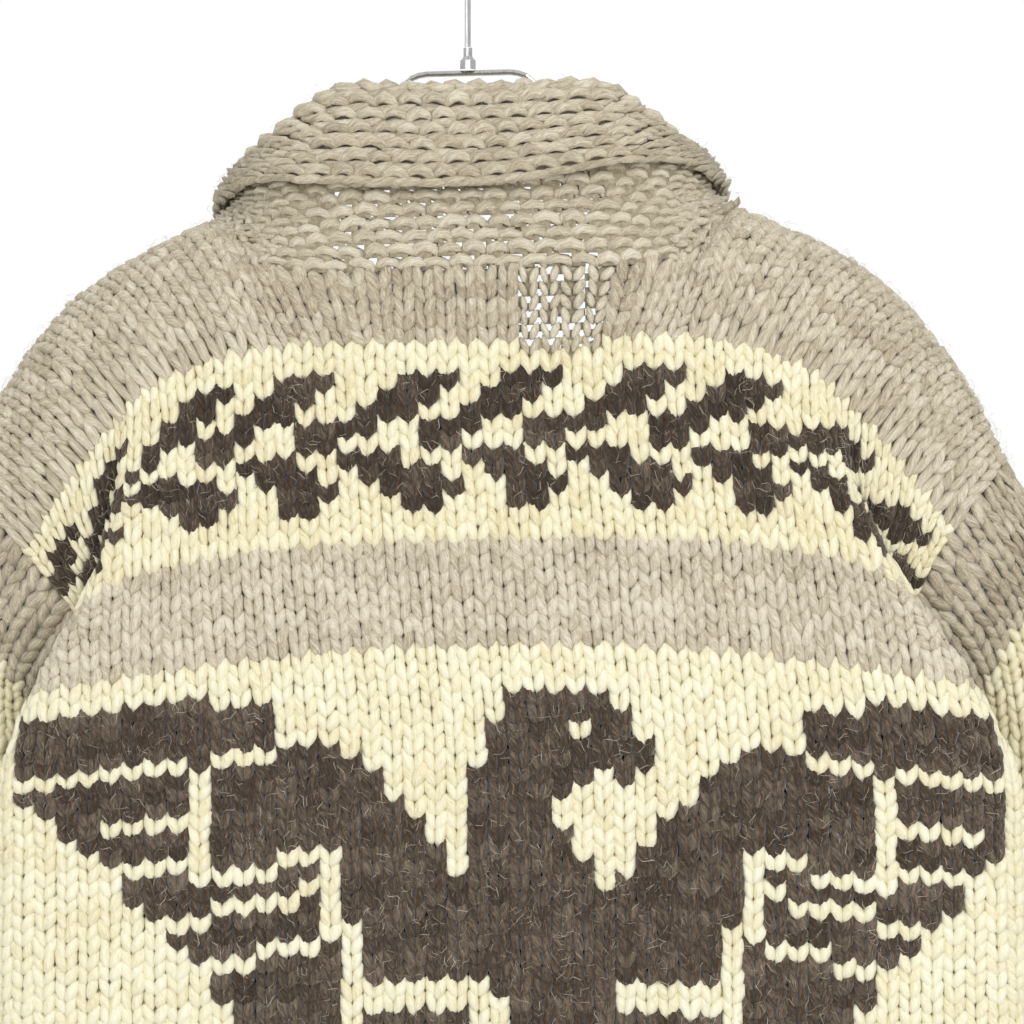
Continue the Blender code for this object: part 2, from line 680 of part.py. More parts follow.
# Stations along the collar, from the centre of the back to the front end: where its base is sewn
# (a stitch on the back neckline, or a row down the front's neck edge), then how far from there the
# top of its fold and the lower edge of its fall lie.
Station = namedtuple("Station", "place base fold fall")
COLLAR = [
    Station("back", 0, (0, -8, 94), (0, 7, 44)),
    Station("back", 4, (-2, -8, 94.5), (2, 7, 45)),
    Station("back", 7, (-5.5, -9, 94), (1.5, 6, 47.5)),
    Station("back", 9, (-3, -10.5, 71.5), (6, 4.5, 43.5)),
    Station("back", 10.1, (-6, -6.5, 49.5), (7, 3.5, 27.5)),
    Station("back", SHOULDER_STITCH, (-9, -5, 23.5), (8, 0, 7)),
    Station("front", -0.9, (-10, -9, 22), (11, -10, 5)),
    Station("front", -0.66, (-13, -10, 20), (14, -15, 0)),
    Station("front", -0.3, (-17, -9, 18), (17, -17, -8)),
    Station("front", 0, (-19, -8, 18), (20, -15, -15)),
    Station("front", 3.25, (-20, -8, 20), (22, -14, -22)),
    Station("front", 6.5, (-18, -7, 20), (20, -14, -24)),
    Station("front", BAND_TOP_ROW, (-8, -6, 14), (9, -16, -18)),
]
FOLD_RADIUS = 4.0
FALL_RIDGES = 6
STAND_RIDGES = 6
RIDGE_HEIGHT = 1.3


def collar_base(station):
    """Where a station is sewn on, how the cloth faces there, and its stitch."""
    if station.place == "back":
        return top_line(station.base), neck_lean(station.base), HALF
    stitch = neck_edge(station.base)
    return panel_point(FRONT, stitch, station.base), front_edge_lean(station.base), stitch


def collar_section(base, fold, fall, lean):
    """Both faces of the folded strip at one station, as two lines of points, seam to outer edge."""
    up = (fold - base).normalized()
    out = fall - fold
    out = (out - up * out.dot(up)).normalized()
    pivot = fold - up * (FOLD_RADIUS + COLLAR_WALL / 2)
    start = base - lean * (COLLAR_WALL / 2)
    top = pivot - out * FOLD_RADIUS
    turned = pivot + out * FOLD_RADIUS
    end = fall - out * (COLLAR_WALL / 2)
    middle, side, ridge = [], [], []  # ridge: -1 raises the stand's outer face, +1 the fall's

    stand_steps = 2 * STAND_RIDGES
    for i in range(stand_steps + 1):
        share = 0.5 * i / stand_steps
        middle.append(start + (top - start) * share)
        side.append((-lean + (lean - out) * share * 2).normalized())
        ridge.append(-(i % 2) * RIDGE_HEIGHT)
    for share in (0.75, 0.97):
        middle.append(start + (top - start) * share)
        side.append(-out)
        ridge.append(0)
    for angle in (pi / 4, pi / 2, 3 * pi / 4):
        way = -out * cos(angle) + up * sin(angle)
        middle.append(pivot + way * FOLD_RADIUS)
        side.append(way)
        ridge.append(0)
    fall_steps = 2 * FALL_RIDGES
    for i in range(fall_steps + 1):
        share = i / fall_steps
        middle.append(turned + (end - turned) * share)
        side.append(out)
        ridge.append((i % 2) * RIDGE_HEIGHT)
    half = COLLAR_WALL / 2
    seen = [m + s * (half + max(r, 0)) for m, s, r in zip(middle, side, ridge)]
    hidden = [m - s * (half + max(-r, 0)) for m, s, r in zip(middle, side, ridge)]
    return seen, hidden


def build_collar(collection):
    halves = []
    for sign in (1, -1):
        skins = ([], [])
        seam = []
        for station in COLLAR:
            base, lean, stitch = collar_base(station)
            base.y += overlap(stitch, sign)
            seam.append((base, lean))
        for i, station in enumerate(COLLAR):
            base, lean = seam[i]
            before = seam[i - 1][0] if i else Vector((-seam[1][0].x, seam[1][0].y, seam[1][0].z))
            after = seam[min(i + 1, len(seam) - 1)][0]
            base = base + seam_gap(before, after, lean)
            fold, fall = base + Vector(station.fold), base + Vector(station.fall)
            for skin, line in zip(skins, collar_section(base, fold, fall, lean)):
                skin.append(mirror(line, sign))
        halves.append(skins)
    left, right = halves
    skins = [list(reversed(r[1:])) + l for l, r in zip(left, right)]
    return wall("collar", *skins, "wool_rib", collection)


# ---------------------------------------------------------------- front bands and buttons

BAND_WALL = 5.5
BAND_RIDGES = 4
HEM_BOTTOM = -781 - HEM_DEPTH


def band_depth(sign, row):
    """The y of a band's outer face: level with its own front's edge."""
    middle = along([c.row for c in FRONT], [c.middle[0] for c in FRONT], min(row, LAST_ROW))
    return middle + overlap(0, sign)


def band_height(row):
    if row > LAST_ROW:
        return -781 - (row - LAST_ROW) * ROW
    return along([c.row for c in FRONT], [c.middle[1] for c in FRONT], row)


def build_band(name, sign, collection):
    last = LAST_ROW + HEM_DEPTH / ROW
    rows = [BAND_TOP_ROW + 0.8] + [row for row in GRID_ROWS if row > BAND_TOP_ROW] + [last]
    steps = 2 * BAND_RIDGES
    outer, inner = [], []
    for row in rows:
        y, z = band_depth(sign, row), band_height(row)
        xs = [BAND_HALF_WIDTH * (2 * i / steps - 1) for i in range(steps + 1)]
        outer.append([Vector((x, y - (i % 2) * RIDGE_HEIGHT, z)) for i, x in enumerate(xs)])
        inner.append([Vector((x, y + BAND_WALL, z)) for x in xs])
    return wall(name, outer, inner, "wool_rib", collection)


def build_buttons(collection):
    """Turned buttons with a raised rim, on the outer band."""
    profile = [(0, 2.4), (7.2, 2.4), (8.4, 3.8), (10.4, 3.8), (BUTTON_RADIUS, 2.4), (BUTTON_RADIUS, 1.0),
               (10.0, 0), (0, 0)]
    first, last = BAND_TOP_ROW + 4.5, LAST_ROW + 3
    for number in range(BUTTON_COUNT):
        row = first + (last - first) * number / (BUTTON_COUNT - 1)
        mesh = bpy.data.meshes.new("button_profile")
        points = [Vector((r * MM, 0, h * MM)) for r, h in profile]
        mesh.from_pydata(points, [(i, i + 1) for i in range(len(points) - 1)], [])
        button = add_object(f"button_{number + 1}", mesh, "button_wood", collection)
        screw = button.modifiers.new("turned", "SCREW")
        screw.steps = screw.render_steps = 16
        screw.use_merge_vertices = True
        screw.merge_threshold = 0.0001
        face = band_depth(1, row) - RIDGE_HEIGHT - GAP
        button.location = hang(Vector((0, face, band_height(row)))) * MM
        button.rotation_euler = (pi / 2, 0, 0)


# ---------------------------------------------------------------- hanger

HOOK_RADIUS = 19.0  # inside the hook's bend
ROD_END = -85.8
FERRULE = [(0, -86.1), (2.3, -86.1), (2.3, -90.3), (3.0, -91.2), (4.0, -92.4), (4.1, -97.2), (0, -97.2)]
ARM_ROUTE = [  # half of the wire arms, from the middle: x and z
    (0, -99), (21, -99), (29, -101), (35, -107), (44, -119), (66, -144), (94, -165), (120, -178.5),
    (143, -187.5), (166, -198.5), (188, -212),
]


def wire(name, points, collection):
    """A round wire through points in millimetres."""
    curve = bpy.data.curves.new(name, "CURVE")
    curve.dimensions = "3D"
    curve.bevel_depth = WIRE_RADIUS * MM
    curve.bevel_resolution = 2
    curve.use_fill_caps = True
    line = curve.splines.new("POLY")
    line.points.add(len(points) - 1)
    for spot, p in zip(line.points, points):
        spot.co = (*(p * MM), 1)
    return add_object(name, curve, "hanger_chrome", collection)


def build_hanger(collection):
    bend = HOOK_RADIUS + WIRE_RADIUS
    centre_z = -HOOK_RADIUS
    hook = []
    for i in range(21):
        angle = radians(200 - 245 * i / 20)
        hook.append(Vector((bend * cos(angle), 0, centre_z + bend * sin(angle))))
    last = hook[-1]
    for share in (0.3, 0.6, 0.85, 1.0):
        x = last.x * (1 - share) ** 1.6
        hook.append(Vector((x, 0, last.z + (-58 - last.z) * share)))
    hook.append(Vector((0, 0, ROD_END)))
    wire("hanger_hook", hook, collection)

    mesh = bpy.data.meshes.new("ferrule_profile")
    points = [Vector((r * MM, 0, z * MM)) for r, z in FERRULE]
    mesh.from_pydata(points, [(i, i + 1) for i in range(len(points) - 1)], [])
    ferrule = add_object("hanger_ferrule", mesh, "hanger_chrome", collection)
    screw = ferrule.modifiers.new("turned", "SCREW")
    screw.steps = screw.render_steps = 20
    screw.use_merge_vertices = True
    screw.merge_threshold = 0.0001

    tilt = LEAN[-2].tilt
    knots = [0.0]
    for (x0, z0), (x1, z1) in zip(ARM_ROUTE, ARM_ROUTE[1:]):
        knots.append(knots[-1] + hypot(x1 - x0, z1 - z0))
    route = [Vector((x, 0, z)) for x, z in ARM_ROUTE]
    stops = spread(knots, [1, 2, 2, 2, 1, 1, 1, 1, 1, 1])
    right = [along(knots, route, s) for s in stops]
    arms = [Vector((-p.x, 0, p.z)) for p in reversed(right[1:])] + right
    for p in arms:
        p.x, p.z = p.x + tilt * (p.z - ROD_END), p.z - tilt * p.x
    wire("hanger_arms", arms, collection)


# ---------------------------------------------------------------- the whole cardigan

def main():
    for old in list(bpy.data.objects):
        bpy.data.objects.remove(old, do_unlink=True)
    collection = bpy.data.collections.new("cowichan_cardigan")
    bpy.context.scene.collection.children.link(collection)
    build_back(collection)
    build_front("front_left", 1, collection)
    build_front("front_right", -1, collection)
    build_sleeve("sleeve_left", 1, collection)
    build_sleeve("sleeve_right", -1, collection)
    build_hems(collection)
    build_cuff("cuff_left", 1, collection)
    build_cuff("cuff_right", -1, collection)
    build_collar(collection)
    build_band("band_left", 1, collection)
    build_band("band_right", -1, collection)
    build_buttons(collection)
    build_hanger(collection)


main()
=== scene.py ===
"""A cowichan cardigan of thick handspun wool, hung on a chrome wire hanger, seen from behind.

Metres, +Z up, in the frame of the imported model: its back faces +Y and the wearer's left is +X.
Places in the knitting are worked out in millimetres from a stitch number, counted from the centre of
the back or front, and a row number, counted down from the top of the leaf band.
"""

import random
from bisect import bisect_right
from collections import defaultdict, namedtuple
from math import cos, pi, radians, sin

import bmesh
import bpy
from mathutils import Euler, Matrix, Vector


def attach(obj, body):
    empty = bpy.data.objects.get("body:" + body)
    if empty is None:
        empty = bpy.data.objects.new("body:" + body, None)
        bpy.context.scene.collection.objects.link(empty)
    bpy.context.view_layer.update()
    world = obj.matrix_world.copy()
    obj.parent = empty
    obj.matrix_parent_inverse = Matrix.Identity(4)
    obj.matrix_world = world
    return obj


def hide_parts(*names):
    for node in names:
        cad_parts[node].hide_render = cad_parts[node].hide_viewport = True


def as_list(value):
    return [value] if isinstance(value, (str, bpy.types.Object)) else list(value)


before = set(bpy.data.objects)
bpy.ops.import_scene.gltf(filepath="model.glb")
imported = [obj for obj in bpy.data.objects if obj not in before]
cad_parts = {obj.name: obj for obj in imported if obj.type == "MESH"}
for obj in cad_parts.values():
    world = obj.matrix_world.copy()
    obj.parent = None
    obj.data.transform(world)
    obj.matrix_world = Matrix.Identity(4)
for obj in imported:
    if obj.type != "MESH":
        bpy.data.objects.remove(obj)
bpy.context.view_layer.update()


# ---------------------------------------------------------------- the yarn
# One thick strand of handspun wool, barely twisted, in three sheep's own colours: a heathered grey,
# a warm cream and a dark brown with pale hairs in it. Every stitch below is a bend of this strand.

YARN_TONES = {  # shade in the furrows between fibres, the wool itself, and its palest hairs
    "grey": ((0.27, 0.215, 0.145), (0.53, 0.465, 0.335), (0.80, 0.74, 0.60)),
    "cream": ((0.75, 0.64, 0.38), (0.90, 0.85, 0.60), (0.97, 0.95, 0.80)),
    "brown": ((0.020, 0.013, 0.0075), (0.070, 0.0465, 0.031), (0.23, 0.185, 0.137)),
}
YARN_SLOTS = {"grey": "wool_grey", "cream": "wool_cream", "brown": "wool_grey"}


def shader_node(tree, kind, inputs=(), **settings):
    """A node with its settings made and its sockets set to a value or joined to another socket."""
    made = tree.nodes.new(kind)
    for name, value in settings.items():
        setattr(made, name, value)
    for key, value in dict(inputs).items():
        if isinstance(value, bpy.types.NodeSocket):
            tree.links.new(value, made.inputs[key])
        else:
            made.inputs[key].default_value = value
    return made


def math_node(tree, operation, a, b=0.0):
    return shader_node(tree, "ShaderNodeMath", {0: a, 1: b}, operation=operation).outputs[0]


def add_sockets(tree, way, kinds):
    """Gives a tree its named inputs or outputs; kinds says what each of them carries."""
    for name, kind in kinds.items():
        tree.interface.new_socket(name, in_out=way, socket_type="NodeSocket" + kind)


def fibre_group():
    """Fibres that run round and along the strand: their paleness, and their height for a bump."""
    tree = bpy.data.node_groups.new("wool_fibres", "ShaderNodeTree")
    add_sockets(tree, "INPUT", {"Twist": "Float", "Shortness": "Float", "Fineness": "Float"})
    add_sockets(tree, "OUTPUT", {"Paleness": "Float", "Height": "Float"})
    given = tree.nodes.new("NodeGroupInput").outputs
    along_yarn = shader_node(tree, "ShaderNodeAttribute", attribute_name="along").outputs["Fac"]
    spin = shader_node(tree, "ShaderNodeAttribute", attribute_name="spin").outputs["Vector"]
    lock = shader_node(tree, "ShaderNodeAttribute", attribute_name="lock").outputs["Fac"]
    angle = math_node(tree, "MULTIPLY", along_yarn, given["Twist"])
    turned = shader_node(tree, "ShaderNodeVectorRotate", {"Vector": spin, "Angle": angle},
                         rotation_type="Z_AXIS").outputs[0]
    parts = shader_node(tree, "ShaderNodeSeparateXYZ", {0: turned})
    length = math_node(tree, "MULTIPLY", along_yarn, given["Shortness"])
    place = shader_node(tree, "ShaderNodeCombineXYZ",
                        {0: parts.outputs[0], 1: parts.outputs[1], 2: length}).outputs[0]
    seed = math_node(tree, "MULTIPLY", lock, 61.0)
    fine = shader_node(tree, "ShaderNodeTexNoise",
                       {"Vector": place, "W": seed, "Scale": given["Fineness"], "Detail": 5.0,
                        "Roughness": 0.68}, noise_dimensions="4D").outputs[0]
    broad = shader_node(tree, "ShaderNodeTexNoise",
                        {"Vector": place, "W": seed, "Scale": 0.75, "Detail": 2.0, "Roughness": 0.6},
                        noise_dimensions="4D").outputs[0]
    paleness = math_node(tree, "ADD", math_node(tree, "MULTIPLY", fine, 0.62),
                         math_node(tree, "MULTIPLY", broad, 0.38))
    ends = shader_node(tree, "NodeGroupOutput")
    tree.links.new(paleness, ends.inputs["Paleness"])
    tree.links.new(fine, ends.inputs["Height"])
    return tree


wool_fibres = fibre_group()
SPINNING = {"Twist": 0.16, "Shortness": 0.22, "Fineness": 2.4}  # of all three yarns, by the millimetre


def wool(colour):
    """A matt, slightly hairy wool whose tone changes from fibre to fibre and from stitch to stitch."""
    material = bpy.data.materials.new("wool_" + colour)
    material.use_nodes = True
    tree = material.node_tree
    shader = tree.nodes["Principled BSDF"]
    shader.inputs["Roughness"].default_value = 0.95
    shader.inputs["Specular IOR Level"].default_value = 0.2
    shader.inputs["Sheen Weight"].default_value = 0.35
    shader.inputs["Sheen Roughness"].default_value = 0.45
    fibres = shader_node(tree, "ShaderNodeGroup", SPINNING, node_tree=wool_fibres)
    tone = shader_node(tree, "ShaderNodeAttribute", attribute_name="tone").outputs["Fac"]
    mixed = math_node(tree, "ADD", fibres.outputs["Paleness"], tone)
    tones = shader_node(tree, "ShaderNodeValToRGB", {0: mixed})
    shade, body, hair = YARN_TONES[colour]
    stops = tones.color_ramp.elements
    stops[0].position, stops[0].color = 0.35, (*shade, 1)
    stops[1].position, stops[1].color = 0.50, (*body, 1)
    pale = stops.new(0.66)
    pale.color = (*hair, 1)
    tree.links.new(tones.outputs["Color"], shader.inputs["Base Color"])
    bump = shader_node(tree, "ShaderNodeBump",
                       {"Height": fibres.outputs["Height"], "Strength": 0.6, "Distance": 0.0006})
    tree.links.new(bump.outputs["Normal"], shader.inputs["Normal"])
    return material


yarns = {colour: wool(colour) for colour in YARN_TONES}


# ---------------------------------------------------------------- the bend of yarn
# Hand knitting is one bend of yarn repeated: two leaning legs make the V of a plain stitch, and one
# low arch makes the bump of a purl. Each is a tapered strand set on the cloth at a stitch's place.

Leg = namedtuple("Leg", "shape fullness")
# The yarn's twist makes one leg of a V lie fuller and more aslant than the other.
LEGS = (Leg((1, 1, 1), (1, 1, 1)), Leg((-0.90, 1.06, 1), (0.92, 1, 0.92)))
BEND = ("Start", "Start Handle", "End Handle", "End")  # the points that shape a strand
STRAY = (0.00035, 0.0006, 0.0004)  # how far a leg may lie off its place
LEG_DRAWS = 7  # seeds set aside for each leg
CLOSE = 0.000004  # points at a strand's tips that are nearer than this are one
MILLIMETRES = 1000.0


def bend_tree():
    """Geometry nodes: a tapered strand on every point, turned and sized by the point's attributes."""
    tree = bpy.data.node_groups.new("bend_of_yarn", "GeometryNodeTree")
    add_sockets(tree, "INPUT", {
        "Stitches": "Geometry", "Start": "Vector", "Start Handle": "Vector", "End Handle": "Vector",
        "End": "Vector", "Both Legs": "Bool", "Yarn Radius": "Float", "Taper": "Float",
        "Points Along": "Int", "Points Round": "Int", "Unevenness": "Float", "Seed": "Int",
        "Yarn": "Material"})
    add_sockets(tree, "OUTPUT", {"Knitting": "Geometry"})
    given = tree.nodes.new("NodeGroupInput").outputs
    ends = tree.nodes.new("NodeGroupOutput")

    def stored(name):
        return shader_node(tree, "GeometryNodeInputNamedAttribute", {"Name": name},
                           data_type="FLOAT_VECTOR").outputs[0]

    def vector_node(operation, a, b):
        return shader_node(tree, "ShaderNodeVectorMath", {0: a, 1: b}, operation=operation).outputs[0]

    def scaled(vector, scale):
        return shader_node(tree, "ShaderNodeVectorMath", {0: vector, "Scale": scale},
                           operation="SCALE").outputs[0]

    def chance(leg, draw, kind, low, high):
        """A random number or vector for each stitch's leg; its sockets follow the kind."""
        seed = math_node(tree, "ADD", given["Seed"], leg * LEG_DRAWS + draw)
        picked = shader_node(tree, "FunctionNodeRandomValue", {"Seed": seed}, data_type=kind)
        slot, result = (0, 0) if kind == "FLOAT_VECTOR" else (2, 1)
        picked.inputs[slot].default_value = low
        picked.inputs[slot + 1].default_value = high
        return picked.outputs[result]

    round_sizes = {"Resolution": given["Points Round"], "Radius": given["Yarn Radius"]}
    profile = shader_node(tree, "GeometryNodeCurvePrimitiveCircle", round_sizes).outputs[0]
    place = tree.nodes.new("GeometryNodeInputPosition").outputs[0]
    spin = scaled(place, MILLIMETRES)
    profile = shader_node(tree, "GeometryNodeStoreNamedAttribute",
                          {"Geometry": profile, "Name": "spin", "Value": spin},
                          data_type="FLOAT_VECTOR", domain="POINT").outputs[0]
    joined = tree.nodes.new("GeometryNodeJoinGeometry")
    for leg, (shape, fullness) in enumerate(LEGS):
        points = {name: vector_node("MULTIPLY", given[name], shape) for name in BEND}
        strand = shader_node(tree, "GeometryNodeCurvePrimitiveBezierSegment", points).outputs[0]
        strand = shader_node(tree, "GeometryNodeResampleCurve",
                             {"Curve": strand, "Count": given["Points Along"]}).outputs[0]
        spline = tree.nodes.new("GeometryNodeSplineParameter")
        share = spline.outputs["Factor"]
        length = math_node(tree, "MULTIPLY", spline.outputs["Length"], MILLIMETRES)
        strand = shader_node(tree, "GeometryNodeStoreNamedAttribute",
                             {"Geometry": strand, "Name": "along", "Value": length},
                             data_type="FLOAT", domain="POINT").outputs[0]
        bulge = math_node(tree, "SINE", math_node(tree, "MULTIPLY", share, pi))
        bulge = math_node(tree, "MAXIMUM", bulge, 0.0)
        thick = math_node(tree, "POWER", bulge, given["Taper"])
        body = shader_node(tree, "GeometryNodeCurveToMesh",
                           {"Curve": strand, "Profile Curve": profile, "Scale": thick}).outputs[0]
        body = shader_node(tree, "GeometryNodeMergeByDistance",
                           {"Geometry": body, "Distance": CLOSE}).outputs[0]
        wobble = chance(leg, 1, "FLOAT_VECTOR", (-1, -1, -1), (1, 1, 1))
        tilt = scaled(wobble, given["Unevenness"])
        turn = shader_node(tree, "FunctionNodeEulerToRotation", {0: stored("turn")}).outputs[0]
        tilt = shader_node(tree, "FunctionNodeEulerToRotation", {0: tilt}).outputs[0]
        turn = shader_node(tree, "FunctionNodeRotateRotation", {0: turn, 1: tilt},
                           rotation_space="LOCAL").outputs[0]
        swell = chance(leg, 2, "FLOAT_VECTOR", (-1, -1, -1), (1, 1, 1))
        swell = vector_node("ADD", scaled(swell, given["Unevenness"]), fullness)
        size = vector_node("MULTIPLY", stored("size"), swell)
        wanted = True if leg == 0 else given["Both Legs"]
        placed = shader_node(tree, "GeometryNodeInstanceOnPoints",
                             {"Points": given["Stitches"], "Selection": wanted, "Instance": body,
                              "Rotation": turn, "Scale": size}).outputs[0]
        stray = chance(leg, 4, "FLOAT_VECTOR", tuple(-most for most in STRAY), STRAY)
        placed = shader_node(tree, "GeometryNodeTranslateInstances",
                             {"Instances": placed, "Translation": stray}).outputs[0]
        lock = chance(leg, 3, "FLOAT", 0.0, 1.0)
        placed = shader_node(tree, "GeometryNodeStoreNamedAttribute",
                             {"Geometry": placed, "Name": "lock", "Value": lock},
                             data_type="FLOAT", domain="INSTANCE").outputs[0]
        tree.links.new(placed, joined.inputs[0])
    whole = shader_node(tree, "GeometryNodeRealizeInstances", {0: joined.outputs[0]}).outputs[0]
    for name in ("turn", "size"):
        whole = shader_node(tree, "GeometryNodeRemoveAttribute", {0: whole, "Name": name}).outputs[0]
    whole = shader_node(tree, "GeometryNodeSetShadeSmooth", {0: whole}).outputs[0]
    whole = shader_node(tree, "GeometryNodeSetMaterial", {0: whole, "Material": given["Yarn"]})
    tree.links.new(whole.outputs[0], ends.inputs[0])
    return tree


bend_of_yarn = bend_tree()


def finish_mesh(thing):
    """Puts the mesh that an object's modifiers make in the place of its own."""
    graph = bpy.context.evaluated_depsgraph_get()
    made = bpy.data.meshes.new_from_object(thing.evaluated_get(graph), depsgraph=graph)
    thing.modifiers.clear()
    thing.data = made
    made.name = thing.name
    return made


def knitted(name, places, inputs):
    """The object that the bend-of-yarn tree makes of a mesh of places."""
    thing = bpy.data.objects.new(name, places)
    bpy.context.scene.collection.objects.link(thing)
    modifier = thing.modifiers.new(name, "NODES")
    modifier.node_group = bend_of_yarn
    sockets = {s.name: s.identifier for s in bend_of_yarn.interface.items_tree if s.in_out == "INPUT"}
    for key, value in inputs.items():
        modifier[sockets[key]] = value
    finish_mesh(thing)
    return thing


# Each bend is given across in stitches, up in rows and outwards in metres, from the stitch's middle.
PLAIN_LEG = {
    "Start": (0.05, -1.04, 0.0002), "Start Handle": (0.15, -0.52, 0.0025),
    "End Handle": (0.42, 0.26, 0.0022), "End": (0.43, 0.98, -0.0028),
}
PURL_BUMP = {
    "Start": (-0.60, -0.36, -0.0048), "Start Handle": (-0.44, 0.30, 0.0030),
    "End Handle": (0.34, 0.42, 0.0036), "End": (0.64, -0.36, -0.0034),
}
GARTER_BUMP = {
    "Start": (-0.54, -0.66, -0.0030), "Start Handle": (-0.52, 0.46, 0.0028),
    "End Handle": (0.44, 0.54, 0.0034), "End": (0.56, -0.62, -0.0026),
}
GARTER_DIP = {
    "Start": (-0.58, 0.24, -0.0010), "Start Handle": (-0.38, -0.30, 0.0024),
    "End Handle": (0.32, -0.26, 0.0028), "End": (0.58, 0.28, -0.0006),
}
THIN_LEG = {  # of a worn stitch, where the yarn has thinned
    "Start": (0.07, -0.62, 0.0000), "Start Handle": (0.33, -0.20, 0.0012),
    "End Handle": (0.67, 0.20, 0.0012), "End": (0.80, 0.62, -0.0012),
}
EDGE_CHAIN = {
    "Start": (-0.78, -0.16, -0.0012), "Start Handle": (-0.30, 0.10, 0.0008),
    "End Handle": (0.30, -0.10, 0.0008), "End": (0.78, 0.16, -0.0012),
}
Stitch = namedtuple("Stitch", "place turn size tone")
STITCH_WIDE, ROW_HIGH = 0.0104, 0.00757  # the gauge of the knitting


def yarn_bends(name, stitches, bend, colour, seed, radius=0.00305, along=5, around=6, both=True,
               uneven=0.13, taper=0.5):
    """One piece of knitting in one colour of yarn: a bend of yarn at each stitch."""
    mesh = bpy.data.meshes.new(name + "_places")
    mesh.from_pydata([s.place for s in stitches], [], [])
    for key in ("turn", "size"):
        values = mesh.attributes.new(key, "FLOAT_VECTOR", "POINT").data
        values.foreach_set("vector", [c for s in stitches for c in getattr(s, key)])
    mesh.attributes.new("tone", "FLOAT", "POINT").data.foreach_set("value", [s.tone for s in stitches])
    inputs = {key: (x * STITCH_WIDE, y * ROW_HIGH, z) for key, (x, y, z) in bend.items()}
    inputs.update({"Yarn Radius": radius, "Points Along": along, "Points Round": around,
                   "Both Legs": both, "Seed": seed, "Unevenness": uneven, "Taper": taper,
                   "Yarn": yarns[colour]})
    piece = knitted(name, mesh, inputs)
    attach(piece, "root")
    YARN_SLOTS[colour]
    return piece


# ---------------------------------------------------------------- how the cloth lies
# The cloth is a sheet of stitches and rows. It hangs a little askew on the hanger, so every place in
# it is worked out straight first, in millimetres, and then hung.

HALF = 27  # stitches from the centre to the side of each panel
SHOULDER_STITCH = 10.8  # where the shoulder line meets the neckline
UNDERARM_ROW = 20.5
LAST_ROW = 72  # the ribbed hem starts here
SIDES = {"left": 1, "right": -1}  # the wearer's, and which way each lies from the middle


def ramp(x, start, end):
    """0 where x is at start, 1 where it is at end, and level beyond them."""
    return min(max((x - start) / (end - start), 0.0), 1.0)


def hermite(p0, p1, m0, m1, t):
    """The cubic from p0 to p1 with end slopes m0 and m1."""
    a, b = 2 * t**3 - 3 * t**2 + 1, t**3 - 2 * t**2 + t
    return p0 * a + m0 * b + p1 * (1 - a) + m1 * (t**3 - t**2)


def along(knots, values, x):
    """A smooth curve through values (numbers or vectors) at rising knots."""
    i = min(max(bisect_right(knots, x) - 1, 0), len(knots) - 2)

    def slope(k):
        lo, hi = max(k - 1, 0), min(k + 1, len(knots) - 1)
        return (values[hi] - values[lo]) * (1.0 / (knots[hi] - knots[lo]))

    step = knots[i + 1] - knots[i]
    t = (x - knots[i]) / step
    return hermite(values[i], values[i + 1], slope(i) * step, slope(i + 1) * step, t)


def round_loop(corners, turn):
    """An oval through four corners, reached at turn 0, 1, 2 and 3."""
    a, b, c, d = corners
    angle = turn * pi / 2
    centre, twist = (a + b + c + d) / 4, (a + c - b - d) / 4
    return centre + (a - c) / 2 * cos(angle) + (b - d) / 2 * sin(angle) + twist * cos(2 * angle)


Lean = namedtuple("Lean", "z shift tilt")
LEAN = [  # sideways shift of the cloth, and how much one side is higher, at each height
    Lean(-850, -20.5, 0.0),
    Lean(-450, -20.5, 0.0),
    Lean(-372, -14.0, 0.018),
    Lean(-300, -8.0, 0.026),
    Lean(-175, -3.0, 0.026),
    Lean(-90, 0.0, 0.012),
]


def hang(p):
    """Where a point of the straight cardigan lies once it hangs a little askew."""
    z = min(max(p.z, LEAN[0].z), LEAN[-1].z)
    shift = along([r.z for r in LEAN], [r.shift for r in LEAN], z)
    tilt = along([r.z for r in LEAN], [r.tilt for r in LEAN], z)
    return Vector((p.x + shift, p.y, p.z - tilt * p.x))


ARMHOLE = [
    Vector((265, 0, -303)),  # shoulder
    Vector((212, 29, -369)),  # back
    Vector((190, 0, -430)),  # underarm
    Vector((214, -31, -369)),  # front
]
ARM_ROWS = [-7.0, 0.0, 6.5, 13.0, 16.75, UNDERARM_ROW]
ARM_TURNS = [0.0, 0.66, 1.0, 1.2, 1.5, 2.0]


def armhole(turn):
    """A place on the armhole, from turn 0 at the shoulder round the back to 4."""
    return round_loop(ARMHOLE, turn)


def arm_turn(row):
    """How far round the back of the armhole a row ends, from 0 at the shoulder to 2 at the underarm."""
    i = min(bisect_right(ARM_ROWS, row), len(ARM_ROWS) - 1)
    share = (row - ARM_ROWS[i - 1]) / (ARM_ROWS[i] - ARM_ROWS[i - 1])
    return min(max(ARM_TURNS[i - 1] + share * (ARM_TURNS[i] - ARM_TURNS[i - 1]), 0.0), 2.0)


def grid_turn(row):
    """arm_turn for a row of the grid, where -1 stands for the shoulder line."""
    return arm_turn(row if row >= 0 else -row * ARM_ROWS[0])


